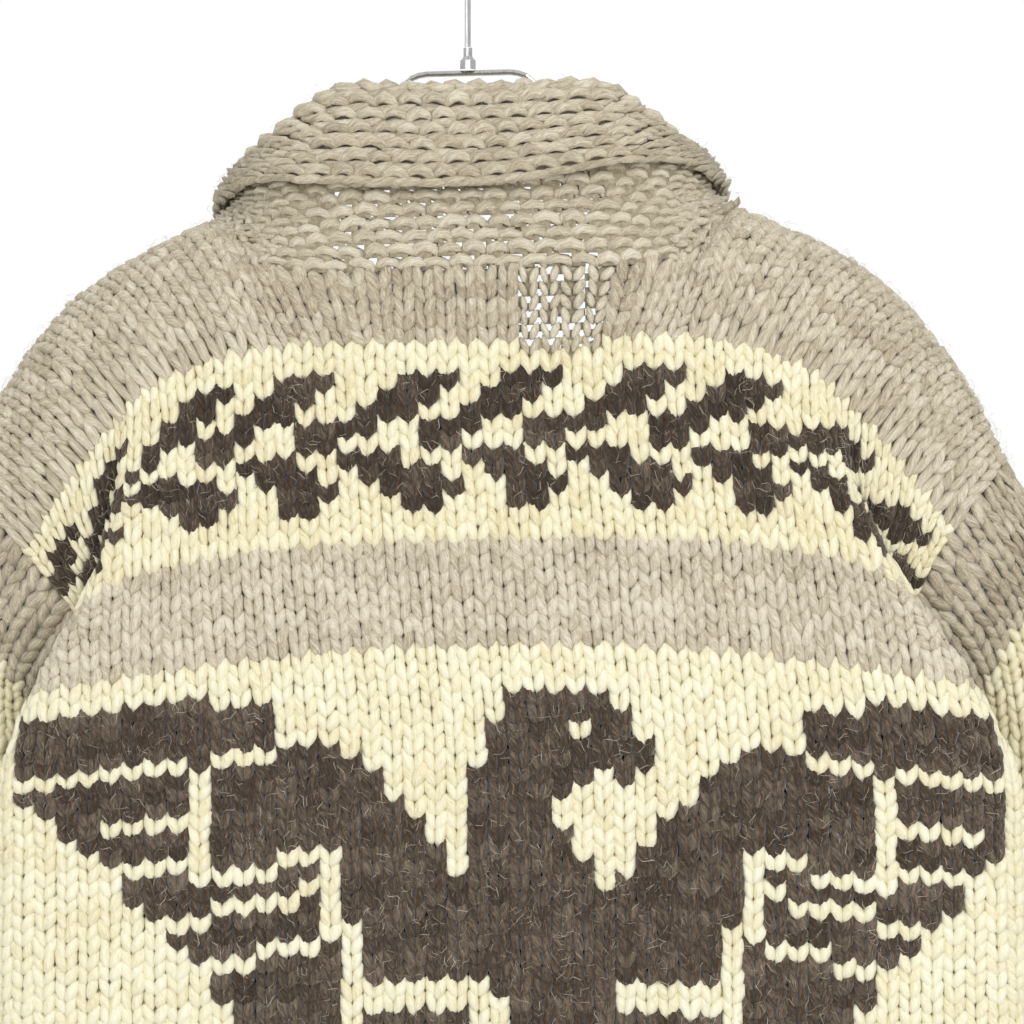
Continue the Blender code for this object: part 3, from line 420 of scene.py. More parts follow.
Side = namedtuple("Side", "row place")
SIDE = [  # where back and front meet below the armhole
    Side(UNDERARM_ROW, Vector((190, 0, -430))),
    Side(25, Vector((206, 4, -463))),
    Side(30, Vector((226, 10, -493))),
    Side(37.5, Vector((237, 12.5, -541))),
    Side(48, Vector((241, 14, -612))),
    Side(60, Vector((239, 13, -698))),
    Side(LAST_ROW, Vector((235.5, 8.5, -781))),
]
RIDGE_STITCHES = [SHOULDER_STITCH, 12.8, 15.2, 17.4, 19.6, 21.6, 23.6, 25.3, HALF]
RIDGE = [
    Vector((124.5, 0, -169.5)),
    Vector((146, 0, -178)),
    Vector((171, 0, -189.5)),
    Vector((192.5, 0, -202.5)),
    Vector((213, 0, -219)),
    Vector((230, 0, -240)),
    Vector((245, 0, -262)),
    Vector((255.5, 0, -282)),
    Vector((265, 0, -303)),
]
NECK_STITCHES = [0, 4, 8, 9.4, 10.2, SHOULDER_STITCH]
NECK = [
    Vector((0, 46, -200)),
    Vector((42, 46, -200)),
    Vector((84, 44, -199.5)),
    Vector((103, 36, -194.5)),
    Vector((116, 20, -184)),
    Vector((124.5, 0, -169.5)),
]


def top_line(stitch):
    """The back neckline, then the shoulder line."""
    if stitch >= SHOULDER_STITCH:
        return along(RIDGE_STITCHES, RIDGE, stitch)
    return along(NECK_STITCHES, NECK, stitch)


# A row of knitting from the middle out: the depth and height of its middle, then at each fold the
# stitch and its place. On the back the brow, crest and tuck turn the cloth into the side fold.
Course = namedtuple("Course", "row middle blade brow crest tuck strip")
BACK = [
    Course(0, (50, -236), (11, 113, 49, -237), (16, 161, 45, -251), (17.5, 173.5, 42.6, -260),
           (19, 184.5, 39.5, -270.5), (23, 211.5, 31, -302.5)),
    Course(3.25, (51.5, -260.5), (11, 113, 50.5, -262.5), (16.3, 163, 48.5, -276.5),
           (17.9, 177, 46, -288.5), (19.2, 184, 39, -297), (23, 205, 32, -328)),
    Course(6.5, (53, -285), (11, 114, 52, -288), (16.8, 170, 51, -300.5), (18.6, 185, 47, -315),
           (20, 188, 36, -326), (23.4, 199, 32.5, -347)),
    Course(9.75, (54.5, -309.7), (11, 114, 53.5, -313.5), (17.4, 176, 52, -321.5),
           (19.3, 193, 47, -338), (21.2, 193, 32.5, -353.5), (24, 199.5, 30, -365.5)),
    Course(13, (56, -334.4), (11, 115, 55, -338.5), (18, 184, 53.5, -351), (20.6, 209, 46, -367),
           (23.2, 202.5, 31.5, -380), (25.2, 201.5, 28.8, -385)),
    Course(16.75, (57, -362.8), (11, 115, 56, -367.5), (19.3, 201, 53, -379.5),
           (21.8, 226, 44, -393), (23.4, 217, 33, -399), (25.2, 209.3, 38, -406.3)),
    Course(20.5, (58, -391), (11, 115, 57, -396.5), (20.5, 216, 52, -410.5),
           (22.8, 238, 40, -415), (24.2, 230, 27, -420), (25.6, 197.3, 26.2, -423.2)),
    Course(25, (59, -425.2), (11, 115.5, 58, -431), (21.6, 232, 52, -447), (23.9, 254, 38, -450),
           (25.2, 245, 24, -453), (26.1, 228, 18, -457)),
    Course(30, (59.5, -463), (11, 116, 58.5, -468), (22, 237, 52, -481), (24.3, 258, 37, -484),
           (25.4, 250, 23, -486), (26.2, 241, 17, -489)),
    Course(45, (60, -576.6), (11, 116, 59, -580), (22, 238, 52, -586.5), (24.3, 259, 37, -588),
           (25.6, 251.5, 23, -588), (26.3, 246.5, 18, -588)),
    Course(60, (58, -690), (11, 115, 57, -691.5), (22, 236, 50, -694.5), (24.3, 257, 35.5, -695),
           (25.6, 249.5, 22, -695), (26.3, 244.5, 17, -695)),
    Course(72, (54, -781), (11, 113, 53, -781), (22, 231, 46, -781), (24.1, 249, 33, -781),
           (25.4, 246.5, 21.5, -781), (26.2, 242, 15, -781)),
]
# The front has no side fold: its brow, crest and tuck turn it back beside the sleeve.
FRONT = [
    Course(0, (-50, -236), (11, 113, -49, -237), (16, 161, -45, -251), (17.5, 173.5, -42.6, -260),
           (19, 184.5, -39.5, -270.5), (23, 211.5, -31, -302.5)),
    Course(6.5, (-50.5, -285), (11, 114, -50, -288), (16.8, 168, -47.5, -304),
           (18.4, 180, -45, -313), (20, 190, -41, -325), (23.5, 203, -35, -347)),
    Course(13, (-51, -334.4), (11, 115, -51, -338.5), (16.5, 165, -48, -351),
           (18.4, 180, -43.5, -362), (20.4, 189, -39, -369), (23.5, 197, -34, -379)),
    Course(16.75, (-51.5, -362.8), (11, 115, -51.5, -367.5), (16.2, 163, -48.5, -377),
           (18.2, 177, -43, -386), (20.2, 183, -38, -393), (23.5, 188, -31, -402)),
    Course(20.5, (-52, -391), (11, 115, -52, -396.5), (16, 162, -49, -404),
           (18, 175, -42.5, -411), (20, 182, -33, -418), (23.5, 187, -16, -426)),
    Course(25, (-52.5, -425.2), (11, 116, -52, -431), (16.3, 165, -49, -440),
           (18.3, 178, -40.5, -444), (20.2, 188, -29, -449), (23.7, 198.5, -13, -456)),
    Course(30, (-52.5, -463), (11, 116, -52.5, -468), (16.5, 167, -50, -477),
           (18.6, 182, -41, -480), (20.4, 193, -29, -483), (23.7, 211, -10, -488)),
    Course(45, (-52.5, -576.6), (11, 116, -52.5, -580), (16.5, 168, -50, -586),
           (18.6, 185, -41, -587), (20.4, 197, -28.5, -588), (23.7, 219, -8, -588)),
    Course(60, (-52, -690), (11, 115, -52, -691.5), (16.5, 167, -49.5, -694),
           (18.6, 184, -40.5, -695), (20.4, 196, -28.5, -695), (23.7, 217.5, -8.5, -695)),
    Course(72, (-50, -781), (11, 113, -50, -781), (16.5, 164, -47.5, -781),
           (18.6, 181, -39, -781), (20.4, 192.5, -27.5, -781), (23.7, 214, -8.5, -781)),
]
DRAPE_DEPTH, DRAPE_WIDTH, DRAPE_TURN = 3.5, 8.5, 0.6  # waves in the lower body: mm, stitches, radians
DRAPE_ROWS = (34, 68)  # they open from the first row to the second
DRAPE_STITCHES = (25, 19)  # and fade out from the second stitch to the first


def side_line(row, back):
    """Where a row ends: on the armhole, or below it on the side."""
    if row >= UNDERARM_ROW:
        return along([s.row for s in SIDE], [s.place for s in SIDE], row)
    return armhole(arm_turn(row) if back else 4 - arm_turn(row))


def drape(stitch, row):
    """Soft upright waves that open towards the hem."""
    depth = DRAPE_DEPTH * ramp(row, *DRAPE_ROWS) * ramp(stitch, *DRAPE_STITCHES)
    return depth * sin(stitch * 2 * pi / DRAPE_WIDTH + DRAPE_TURN)


def course_point(courses, stitch, row):
    """A point on a knitted row, from the table's rows above and below it."""
    rows = [c.row for c in courses]
    stitches, places = [0.0], [Vector((0, 0, 0))]
    places[0].y = along(rows, [c.middle[0] for c in courses], row)
    places[0].z = along(rows, [c.middle[1] for c in courses], row)
    for name in ("blade", "brow", "crest", "tuck", "strip"):
        marks = [getattr(c, name) for c in courses]
        stitches.append(along(rows, [m[0] for m in marks], row))
        places.append(along(rows, [Vector(m[1:]) for m in marks], row))
    stitches.append(HALF)
    places.append(side_line(row, courses is BACK))
    mirrored = Vector((-places[1].x, places[1].y, places[1].z))
    point = along([-stitches[1]] + stitches, [mirrored] + places, stitch)
    away = 1 if courses is BACK else -1
    point.y += away * drape(stitch, row)
    return point


ROUND = 2 / 2.5  # how squarely the shoulder turns over from back to front
NAPE_EASE = 1.8  # stitches over which the straight nape becomes the rounded shoulder
SEAM_STITCH = 21  # from here out the shoulder runs into the armhole's edge


def shoulder_point(courses, stitch, share):
    """A point between the leaf band, at share 0, and the neck or shoulder line, at share 1."""
    away = 1 if courses is BACK else -1
    low = course_point(courses, stitch, 0)
    high = top_line(stitch)
    if away < 0:
        high = Vector((high.x, -high.y, high.z))
    angle = share * pi / 2
    rise, fall = sin(angle) ** ROUND, cos(angle) ** ROUND
    flat = ramp(stitch, SHOULDER_STITCH, SHOULDER_STITCH - NAPE_EASE) if away > 0 else 0.0
    rise += (share - rise) * flat
    fall += (1 - rise - fall) * flat
    point = low + (high - low) * rise
    point.y = high.y + (low.y - high.y) * fall
    seam = max(stitch - SEAM_STITCH, 0) / (HALF - SEAM_STITCH)
    if seam:
        turn = grid_turn(-share)
        edge = armhole(turn if away > 0 else 4 - turn)
        plain = armhole(ARM_TURNS[1] if away > 0 else 4 - ARM_TURNS[1])
        end = plain + (RIDGE[-1] - plain) * rise
        end.y = plain.y * fall
        point += (edge - end) * seam**2
    return point


def panel_point(courses, stitch, row):
    """row counts down from the leaf band; above it, -1 is the neck or shoulder line."""
    across = abs(stitch)
    if row < 0:
        point = shoulder_point(courses, across, -row)
    else:
        point = course_point(courses, across, row)
    if stitch < 0:
        point.x = -point.x
    return point


def in_place(p):
    """From the straight cardigan's millimetres to where it hangs, in metres."""
    return hang(p) * 0.001


def steady(seed):
    """A number from -1 to 1 that is always the same for the same seed."""
    return random.Random(str(seed)).uniform(-1, 1)


FUZZ = []  # name, stitches, colour and number of hairs, for the section on fuzz


def stitch_at(low_left, low_right, high_left, high_right, outward, depth=0.0014, tone=0.0, size=None):
    """The stitch that fills a cell of the cloth, sunk a little below its surface."""
    centre = (low_left + low_right + high_left + high_right) / 4
    up = (high_left + high_right - low_left - low_right) / 2
    across = (low_right + high_right - low_left - high_left) / 2
    out = across.cross(up).normalized()
    if out.dot(outward) < 0:
        out = -out
    side = up.cross(out).normalized()
    high = up.length
    wide = abs(across.dot(side))
    axes = Matrix((side, up.normalized(), out)).transposed()
    thick = 1.0 if size is None else size
    flat = min(1.0, 0.4 + 0.6 * wide / STITCH_WIDE)  # crowded stitches stand out no further
    return Stitch(centre - out * depth, tuple(axes.to_euler()),
                  (wide / STITCH_WIDE * thick, high / ROW_HIGH, thick * flat), tone)


def cloth_material():
    """The depth of the knitting, seen between stitches and from its purl side, coloured in a painted
    shade.
    """
    material = bpy.data.materials.new("wool_cloth")
    material.use_nodes = True
    tree = material.node_tree
    shader = tree.nodes["Principled BSDF"]
    shader.inputs["Roughness"].default_value = 1.0
    shader.inputs["Specular IOR Level"].default_value = 0.1
    shader.inputs["Sheen Weight"].default_value = 0.25
    tint = shader_node(tree, "ShaderNodeAttribute", attribute_name="tint").outputs["Color"]
    place = shader_node(tree, "ShaderNodeTexCoord").outputs["Object"]
    fleck = shader_node(tree, "ShaderNodeTexNoise", {"Vector": place, "Scale": 420.0, "Detail": 6.0})
    shade = shader_node(tree, "ShaderNodeMapRange",
                        {0: fleck.outputs[0], 1: 0.3, 2: 0.7, 3: 0.55, 4: 1.1}).outputs[0]
    mixed = shader_node(tree, "ShaderNodeVectorMath", {0: tint, "Scale": shade}, operation="SCALE")
    tree.links.new(mixed.outputs[0], shader.inputs["Base Color"])
    bumps = shader_node(tree, "ShaderNodeTexVoronoi", {"Vector": place, "Scale": 150.0})
    bump = shader_node(tree, "ShaderNodeBump",
                       {"Height": bumps.outputs[0], "Strength": 0.7, "Distance": 0.002})
    tree.links.new(bump.outputs["Normal"], shader.inputs["Normal"])
    return material


cloth_behind = cloth_material()
# the sheet's colours are a painted shade: each is a little darker than its yarn, standing in for the
# shade between the stitches
GAP_SHADE_TINTS = {"grey": (0.46, 0.40, 0.28), "cream": (0.92, 0.83, 0.54), "brown": (0.06, 0.044, 0.032)}


def cloth_sheet(name, cells, depth=0.0026, thick=0.0018):
    """The body of the cloth behind its stitches: a thin closed sheet made of the stitches' own cells.

    cells is a list of (corner keys, corner places, outward, colour); shared keys share a point."""
    bm = bmesh.new()
    layer = bm.faces.layers.float_color.new("tint")
    points, ways = {}, defaultdict(Vector)
    for keys, places, outward, colour in cells:
        out = (places[2] - places[0]).cross(places[3] - places[1]).normalized()
        if out.dot(outward) < 0:
            out = -out
        for key, place in zip(keys, places):
            ways[key] += out
            points.setdefault(key, place)
    verts = {key: bm.verts.new(place - ways[key].normalized() * depth) for key, place in points.items()}
    for keys, places, outward, colour in cells:
        corners = [verts[k] for k in keys]
        if len(set(corners)) < 4:  # a cell closed up at one side
            continue
        face = bm.faces.new(corners)
        face.normal_update()
        if face.normal.dot(outward) < 0:
            face.normal_flip()
        face[layer] = (*GAP_SHADE_TINTS[colour], 1)
        face.smooth = True
    mesh = bpy.data.meshes.new(name)
    bm.to_mesh(mesh)
    bm.free()
    sheet = bpy.data.objects.new(name, mesh)
    bpy.context.scene.collection.objects.link(sheet)
    solid = sheet.modifiers.new("thickness", "SOLIDIFY")
    solid.thickness, solid.offset = thick, -1
    made = finish_mesh(sheet)
    made.materials.clear()
    made.materials.append(cloth_behind)
    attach(sheet, "root")
    return sheet


# ---------------------------------------------------------------- the back
# Plain knitting from the neck down to the ribbed hem: a grey yoke, a band of leaves between cream
# rows, a grey band, and a spread-winged bird on cream.

LEAF_REPEAT = [  # two leaning leaves over two more, eleven stitches wide, from the top down; # is brown
    "..###...###",
    ".###...###.",
    "###...###..",
    "#..####..##",
    "...##....##",
    "###..###...",
    ".###..####.",
    "..###..####",
    "..##....##.",
]
LEAF_TOP_ROW = 2
LEAF_BAND_END, GREY_BAND_END = 13, 20  # the rows below the band of leaves and below the grey band


def band_colour(across, row):
    """The bands that run round the whole cardigan, with plain cream below them.

    across counts stitches towards the wearer's right, row down from 0 at the top of the leaf band."""
    if row < 0 or LEAF_BAND_END <= row < GREY_BAND_END:
        return "grey"
    if not LEAF_TOP_ROW <= row < LEAF_TOP_ROW + len(LEAF_REPEAT):
        return "cream"
    chart = LEAF_REPEAT[row - LEAF_TOP_ROW]
    return "brown" if chart[(across + 1) % len(chart)] == "#" else "cream"


# The bird, in stitches across and rows down from the top of the leaf band. Its middle line runs
# through a stitch's centre, so every stitch of the wings is a whole number of stitches from it.
Body = namedtuple("Body", "row left right")
BODY = [  # the sides of its head, neck, body and tail
    Body(22.6, 1, 4.9), Body(23.5, 0.4, 5.2), Body(24.5, -0.3, 5.7), Body(25.5, -0.8, 6.1),
    Body(27, -1.4, 5.6), Body(28.5, -1.6, 4.3), Body(29.5, -1.8, 3.5), Body(30.5, -1.9, 2.4),
    Body(32.2, -1.9, 2.4), Body(32.8, -1.9, 3.4), Body(35.5, -2.3, 3.6), Body(36, -2.6, 5.6),
    Body(42, -2, 5.2), Body(44, 0, 4.6), Body(46, -0.4, 4.8), Body(52, -2, 5.2), Body(57, -4.5, 7.5),
    Body(60, -5.5, 8.6),
]
# The top of a wing, and the ends of its feathers, at distances from the middle line.
Outline = namedtuple("Outline", "away row")
WING_TOP = [Outline(*pair) for pair in (
    (3.4, 36), (4.2, 35.2), (4.9, 34.2), (5.3, 31), (6.5, 30.2), (7.5, 29), (8.7, 27.6), (9.7, 26.5),
    (11, 25.7), (12.3, 25.8), (12.31, 23.4), (14.5, 22.8), (17, 22.3), (21, 21.6), (25.5, 22.4))]
FEATHER_ENDS = [Outline(*pair) for pair in (
    (0, 48), (9.4, 48), (14.2, 46), (14.6, 44), (15.4, 42), (16.4, 40), (17.8, 38.3), (19.0, 36),
    (19.8, 34), (21.2, 31.6), (22.6, 30), (24.0, 27.8), (24.8, 26))]
# Cream lines between the feathers: from near to far, over rows at the near end, down so much a stitch.
Line = namedtuple("Line", "near far first last fall")
FEATHER_LINES = [
    Line(13, 15, 26, 26, 0),
    Line(17, 24, 26, 26, 0),
    Line(16, 16, 27, 34, 0),
    Line(17, 20, 30, 30, 0),
    Line(17, 20, 33, 33, 0),
    Line(10, 15, 32.8, 32.8, 0.25),
    Line(10, 18, 35.07, 35.07, 0.24),
    Line(10, 16, 38.32, 38.32, 0.3),
    Line(10, 10, 33, 37, 0),
    Line(9, 9, 38, 48, 0),
    Line(0, 8, 42, 43, 0),
]
BIRD_MIDDLE = 1.5
WING_ROOT = 3.4
WING_TIPS = (21.7, 24.4)  # on the wearer's right, and on the left
EYE = (3, 25)
BEAK_ROOT, BEAK_TIP, BEAK_SLOPE = 5.0, 7.0, 0.4
BEAK_TOP, BEAK_MIDDLE, BEAK_BOTTOM = 25.5, 27, 28.6
FOOT_ROWS, FOOT_AWAY = (52, 56), 1.5  # cream rows beside the tail's middle


def straight_between(knots, values, x):
    """The value at x on the straight lines through values at rising knots."""
    i = min(max(bisect_right(knots, x) - 1, 0), len(knots) - 2)
    return values[i] + (values[i + 1] - values[i]) * ramp(x, knots[i], knots[i + 1])


def column(table, name):
    """One named column of a table of named tuples."""
    return [getattr(line, name) for line in table]


def bird_colour(across, row):
    """A bird with spread wings, its head turned to the wearer's right."""
    x, y = across + 0.5, row + 0.5
    if (across, row) == EYE:
        return "cream"
    if BEAK_ROOT <= x < BEAK_TIP - BEAK_SLOPE * abs(y - BEAK_MIDDLE) and BEAK_TOP < y < BEAK_BOTTOM:
        return "brown"
    rows = column(BODY, "row")
    left, right = (straight_between(rows, column(BODY, side), y) for side in ("left", "right"))
    away = abs(x - BIRD_MIDDLE)
    if rows[0] < y < rows[-1] and left < x < right:
        return "cream" if row in FOOT_ROWS and away > FOOT_AWAY else "brown"
    if not WING_ROOT <= away <= WING_TIPS[x <= 0]:
        return "cream"
    top, end = (straight_between(column(line, "away"), column(line, "row"), away)
                for line in (WING_TOP, FEATHER_ENDS))
    if not top <= y <= end:
        return "cream"
    for line in FEATHER_LINES:
        lower = (away - line.near) * line.fall
        first, last = round(line.first + lower), round(line.last + lower)
        if line.near <= away <= line.far and first <= row <= last:
            return "cream"
    return "brown"


def back_colour(across, row):
    """The bands, and the bird below them."""
    return bird_colour(across, row) if row >= GREY_BAND_END else band_colour(across, row)


# The tones of the yarn as it is knitted: by part of the back and collar, row to row and stitch to
# stitch.
STITCH_TONES, ROW_TONES = 0.045, 0.02  # how much paler or darker one stitch, and one row, may be
REGION_TONES = ((-99, 0, 0.035), (0, 13, 0.0), (13, 20, 0.08), (20, 99, 0.03))  # rows of the back, how pale
NAPE_STITCHES = 9  # either side of the middle, the yoke's stitches are a little darker than those beside them
COLLAR_TONE = 0.02


def heather(across, row, piece):
    """How pale a stitch is: each differs a little, and each row is spun a little unevenly."""
    region_tone = COLLAR_TONE if piece.startswith("collar") else 0.0
    if piece == "back" and not (row < 0 and abs(across) < NAPE_STITCHES):
        region_tone = next(pale for first, past, pale in REGION_TONES if first <= row < past)
    return region_tone + steady((piece, across, row)) * STITCH_TONES + steady((piece, row)) * ROW_TONES


YOKE_STEPS = 8  # in which a wale's length above the leaves is measured
FAN, FAN_BEND = 2.6, 0.85  # stitches that a wale half way out moves sideways, and how early
FAN_STITCH = 4  # the wales nearer the middle stay upright


def panel_cells(courses, point, wales, colour_of):
    """The stitches of a panel and the cells they fill, wale by wale from the top down."""
    cache = {}

    def place(stitch, row):
        if courses is BACK and row < 0:  # above the leaves the wales fan out, square to the shoulders
            out = ramp(abs(stitch), FAN_STITCH, HALF)
            stitch += FAN * sin(pi * out) * (-row) ** FAN_BEND * (1 if stitch > 0 else -1)
        key = (round(stitch, 3), round(row, 4))
        if key not in cache:
            cache[key] = in_place(point(courses, stitch, row))
        return cache[key]

    for wale in wales:
        steps = [place(wale + 0.5, -i / YOKE_STEPS) for i in range(YOKE_STEPS + 1)]
        tall = sum((above - below).length for above, below in zip(steps, steps[1:]))
        yoke = max(round(tall / ROW_HIGH), 3)
        levels = [-1 + i / yoke for i in range(yoke)] + list(range(LAST_ROW + 1))
        for row, (high, low) in enumerate(zip(levels, levels[1:]), start=-yoke):
            corners = ((wale, low), (wale + 1, low), (wale + 1, high), (wale, high))
            yield wale, row, corners, [place(*c) for c in corners], colour_of(-wale - 1, row)


PURL_WALES, PURL_ROW = range(-13, 13), 14  # the inside of the back shows through the neck down to here
PURL_IN = 0.0046  # from the outside of the cloth to its purl side


def purl_side(wale, row, places, away):
    """The stitch's other face, a low bump on the inside of the cloth."""
    across, up = places[1] - places[0], places[3] - places[0]
    inward = across.cross(up).normalized() * PURL_IN
    if inward.dot(away) > 0:
        inward = -inward
    p = [place + inward for place in places]
    return stitch_at(p[1], p[0], p[2], p[3], -away, depth=0.0, tone=heather(wale, row, "in"))


# A worn place in the yoke, where the yarn has thinned and light comes through.
WORN_WALES, WORN_ROWS = range(-6, -2), range(-5, 1)
WORN_SEAMS = range(-5, -1)  # the seams between wales where it may open
WORN_TONE, WORN_SIZE = 0.05, 0.6
OPEN_BESIDE, OPEN_WITHIN = -0.6, -0.1  # as many openings as lie above this, from -1 to 1, are there


def worn_cells(courses, wale, row, corners, away, colour):
    """A worn stitch's cloth in quarters by halves, open within the stitch and beside the next."""
    (left, low), high = corners[0], corners[2][1]
    for i in range(4):
        for j in range(2):
            seam = wale + (i == 3)
            beside = i in (0, 3) and j == 0 and seam in WORN_SEAMS
            within = i in (1, 2) and j == 1
            if beside and steady(("hole", seam, row)) > OPEN_BESIDE:
                continue
            if within and steady(("within", wale, row)) > OPEN_WITHIN:
                continue
            ends = [(left + (i + a) / 4, low + (high - low) * (j + b) / 2)
                    for a, b in ((0, 0), (1, 0), (1, 1), (0, 1))]
            keys = tuple((round(x, 3), round(y, 4)) for x, y in ends)
            yield keys, [in_place(panel_point(courses, *end)) for end in ends], away, colour


def knit_panel(name, courses, point, wales, colour_of, along, around, kept=None, hairs=None):
    """Knits a panel, its wales and rows placed by point(courses, stitch, row).

    kept(stitch, row) may leave stitches out, as beside the front neckline."""
    away = Vector((0, 1 if courses is BACK else -1, 0))
    stitches, inside, thinned, cells = defaultdict(list), defaultdict(list), [], []
    for wale, row, corners, places, colour in panel_cells(courses, point, wales, colour_of):
        if kept and not kept(wale + 0.5, row + 0.5):
            continue
        tone = heather(wale, row, name)
        low_left, low_right, high_right, high_left = places
        if name == "back" and wale in WORN_WALES and row in WORN_ROWS:
            thinned.append(stitch_at(low_left, low_right, high_left, high_right, away,
                                     tone=tone + WORN_TONE, size=WORN_SIZE))
            cells.extend(worn_cells(courses, wale, row, corners, away, colour))
            continue
        stitches[colour].append(stitch_at(low_left, low_right, high_left, high_right, away, tone=tone))
        cells.append((corners, places, away, colour))
        if name == "back" and wale in PURL_WALES and row < PURL_ROW:
            inside[colour].append(purl_side(wale, row, places, away))
    pieces = []
    for colour, found in sorted(inside.items()):
        pieces.append(yarn_bends(f"{name}_inside_{colour}", found, PURL_BUMP, colour, seed=9,
                                 radius=0.0026, along=5, around=4, both=False, taper=0.6))
    if thinned:
        pieces.append(yarn_bends(name + "_thinned", thinned, THIN_LEG, "grey", seed=10))
    for number, (colour, found) in enumerate(sorted(stitches.items())):
        pieces.append(yarn_bends(f"{name}_{colour}", found, PLAIN_LEG, colour, seed=11 + number,
                                 along=along, around=around))
        if hairs:
            FUZZ.append((f"fuzz_{colour}", found, colour, hairs[colour]))
    return cloth_sheet(name + "_cloth", cells), pieces


back_cloth, back_knitting = knit_panel(
    "back", BACK, panel_point, range(-HALF, HALF), back_colour, along=5, around=6,
    hairs={"grey": 2600, "cream": 1700, "brown": 2700})
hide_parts("back")
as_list(back_knitting)


# ---------------------------------------------------------------- the two fronts
# They carry the back's bands round and are plain cream below. Each is cut away beside the neck, and
# its straight edge meets its button band.

BAND_TOP_ROW = 9.75  # the V of the neck closes here
FRONT_OPEN_STITCH = 1.7  # the fronts stop where their bands begin
FRONT_FIRST_WALE = 2
FRONT_YOKE_ROWS = 7
OVERLAP = 3.5  # one front lies this much before the middle, the other this much behind
OVERLAP_STITCHES = (10, 2)  # it grows from the first to the second
NECK_EDGE_ROWS = [-1, -0.5, 0, 3.25, 6.5, BAND_TOP_ROW, LAST_ROW]
NECK_EDGE_STITCHES = [SHOULDER_STITCH, 10.1, 9.2, 7.1, 4.6, FRONT_OPEN_STITCH, FRONT_OPEN_STITCH]


def neck_edge(row):
    """The stitch at which the front's neckline or opening cuts a row."""
    i = min(max(bisect_right(NECK_EDGE_ROWS, row) - 1, 0), len(NECK_EDGE_ROWS) - 2)
    share = (row - NECK_EDGE_ROWS[i]) / (NECK_EDGE_ROWS[i + 1] - NECK_EDGE_ROWS[i])
    return NECK_EDGE_STITCHES[i] + share * (NECK_EDGE_STITCHES[i + 1] - NECK_EDGE_STITCHES[i])


def overlap(stitch, sign):
    """How far a front moves forward (-Y) or back near the opening, where the bands overlap."""
    return -OVERLAP * sign * ramp(stitch, *OVERLAP_STITCHES)


def spread(stitch):
    """The 25 wales of a front fill it from the button band to the side."""
    out = (stitch - FRONT_FIRST_WALE) * (HALF - FRONT_OPEN_STITCH) / (HALF - FRONT_FIRST_WALE)
    return FRONT_OPEN_STITCH + out


def front_point(courses, stitch, row):
    """A point of a front: the left one at stitches above 0, the right one below."""
    sign, out = (1 if stitch > 0 else -1), spread(abs(stitch))
    point = panel_point(courses, sign * out, row)
    point.y += overlap(out, sign)
    return point


NECK_ROOM = 0.2  # of a stitch, left free beside the neck's edge


def beside_neck(stitch, row):
    """Whether a stitch lies outside the neckline and the front opening."""
    level = row if row >= 0 else row / FRONT_YOKE_ROWS
    return spread(abs(stitch)) > neck_edge(level) + NECK_ROOM


for side, sign in SIDES.items():
    wales = range(FRONT_FIRST_WALE, HALF) if sign > 0 else range(-HALF, -FRONT_FIRST_WALE)
    cloth, knitting = knit_panel("front_" + side, FRONT, front_point, wales, band_colour,
                                 along=4, around=4, kept=beside_neck)
    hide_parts("front_" + side)
    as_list(knitting)


# ---------------------------------------------------------------- the sleeves
# Tubes knitted downwards from the armhole: seven grey rows, then cream to the cuff. Every wale runs
# the whole way, and they all narrow towards the cuff.

Ring = namedtuple("Ring", "along centre half_long lift turn half_thick")
SLEEVE = [  # sections square to the arm: lift and turn, in degrees, place the long axis
    Ring(45, (247.1, -15.8, -406), 72, 53.7, 16.3, 30),
    Ring(95, (257, -19, -442), 77, 43, 28, 33),
    Ring(150, (259, -22, -492), 76, 29, 36, 33),
    Ring(220, (256, -24, -560), 73, 14, 40, 31),
    Ring(300, (253, -25, -640), 67, 5, 40, 29),
    Ring(400, (250, -26, -740), 57, 0, 40, 27),
    Ring(434, (249, -26, -774), 52, 0, 40, 26),
]


def ring_corners(ring):
    """The ends of the ring's long axis and short axis, in turn."""
    lift, turn = radians(ring.lift), radians(ring.turn)
    centre = Vector(ring.centre)
    long_axis = Vector((cos(lift) * cos(turn), cos(lift) * sin(turn), sin(lift))) * ring.half_long
    short_axis = Vector((-sin(turn), cos(turn), 0)) * ring.half_thick
    return [centre + long_axis, centre + short_axis, centre - long_axis, centre - short_axis]


SLEEVE_CORNERS = [ARMHOLE] + [ring_corners(r) for r in SLEEVE]
SLEEVE_ALONG = [0.0] + [float(r.along) for r in SLEEVE]


def sleeve_point(turn, distance):
    """A place on the left sleeve, from turn 0 at its top round its back to 4."""
    corners = [along(SLEEVE_ALONG, [ring[i] for ring in SLEEVE_CORNERS], distance) for i in range(4)]
    return round_loop(corners, turn % 4)


SLEEVE_WALES, SLEEVE_ROWS = 33, 57
SLEEVE_GREY_ROWS = 7
SLEEVE_LEAN = 0.01  # the wales face a little up the arm


def sleeve_place(wale, row, sign):
    """A place on either sleeve, where the hung cardigan has it."""
    p = sleeve_point(4 * wale / SLEEVE_WALES, SLEEVE_ALONG[-1] * row / SLEEVE_ROWS)
    return in_place(Vector((p.x * sign, p.y, p.z)))


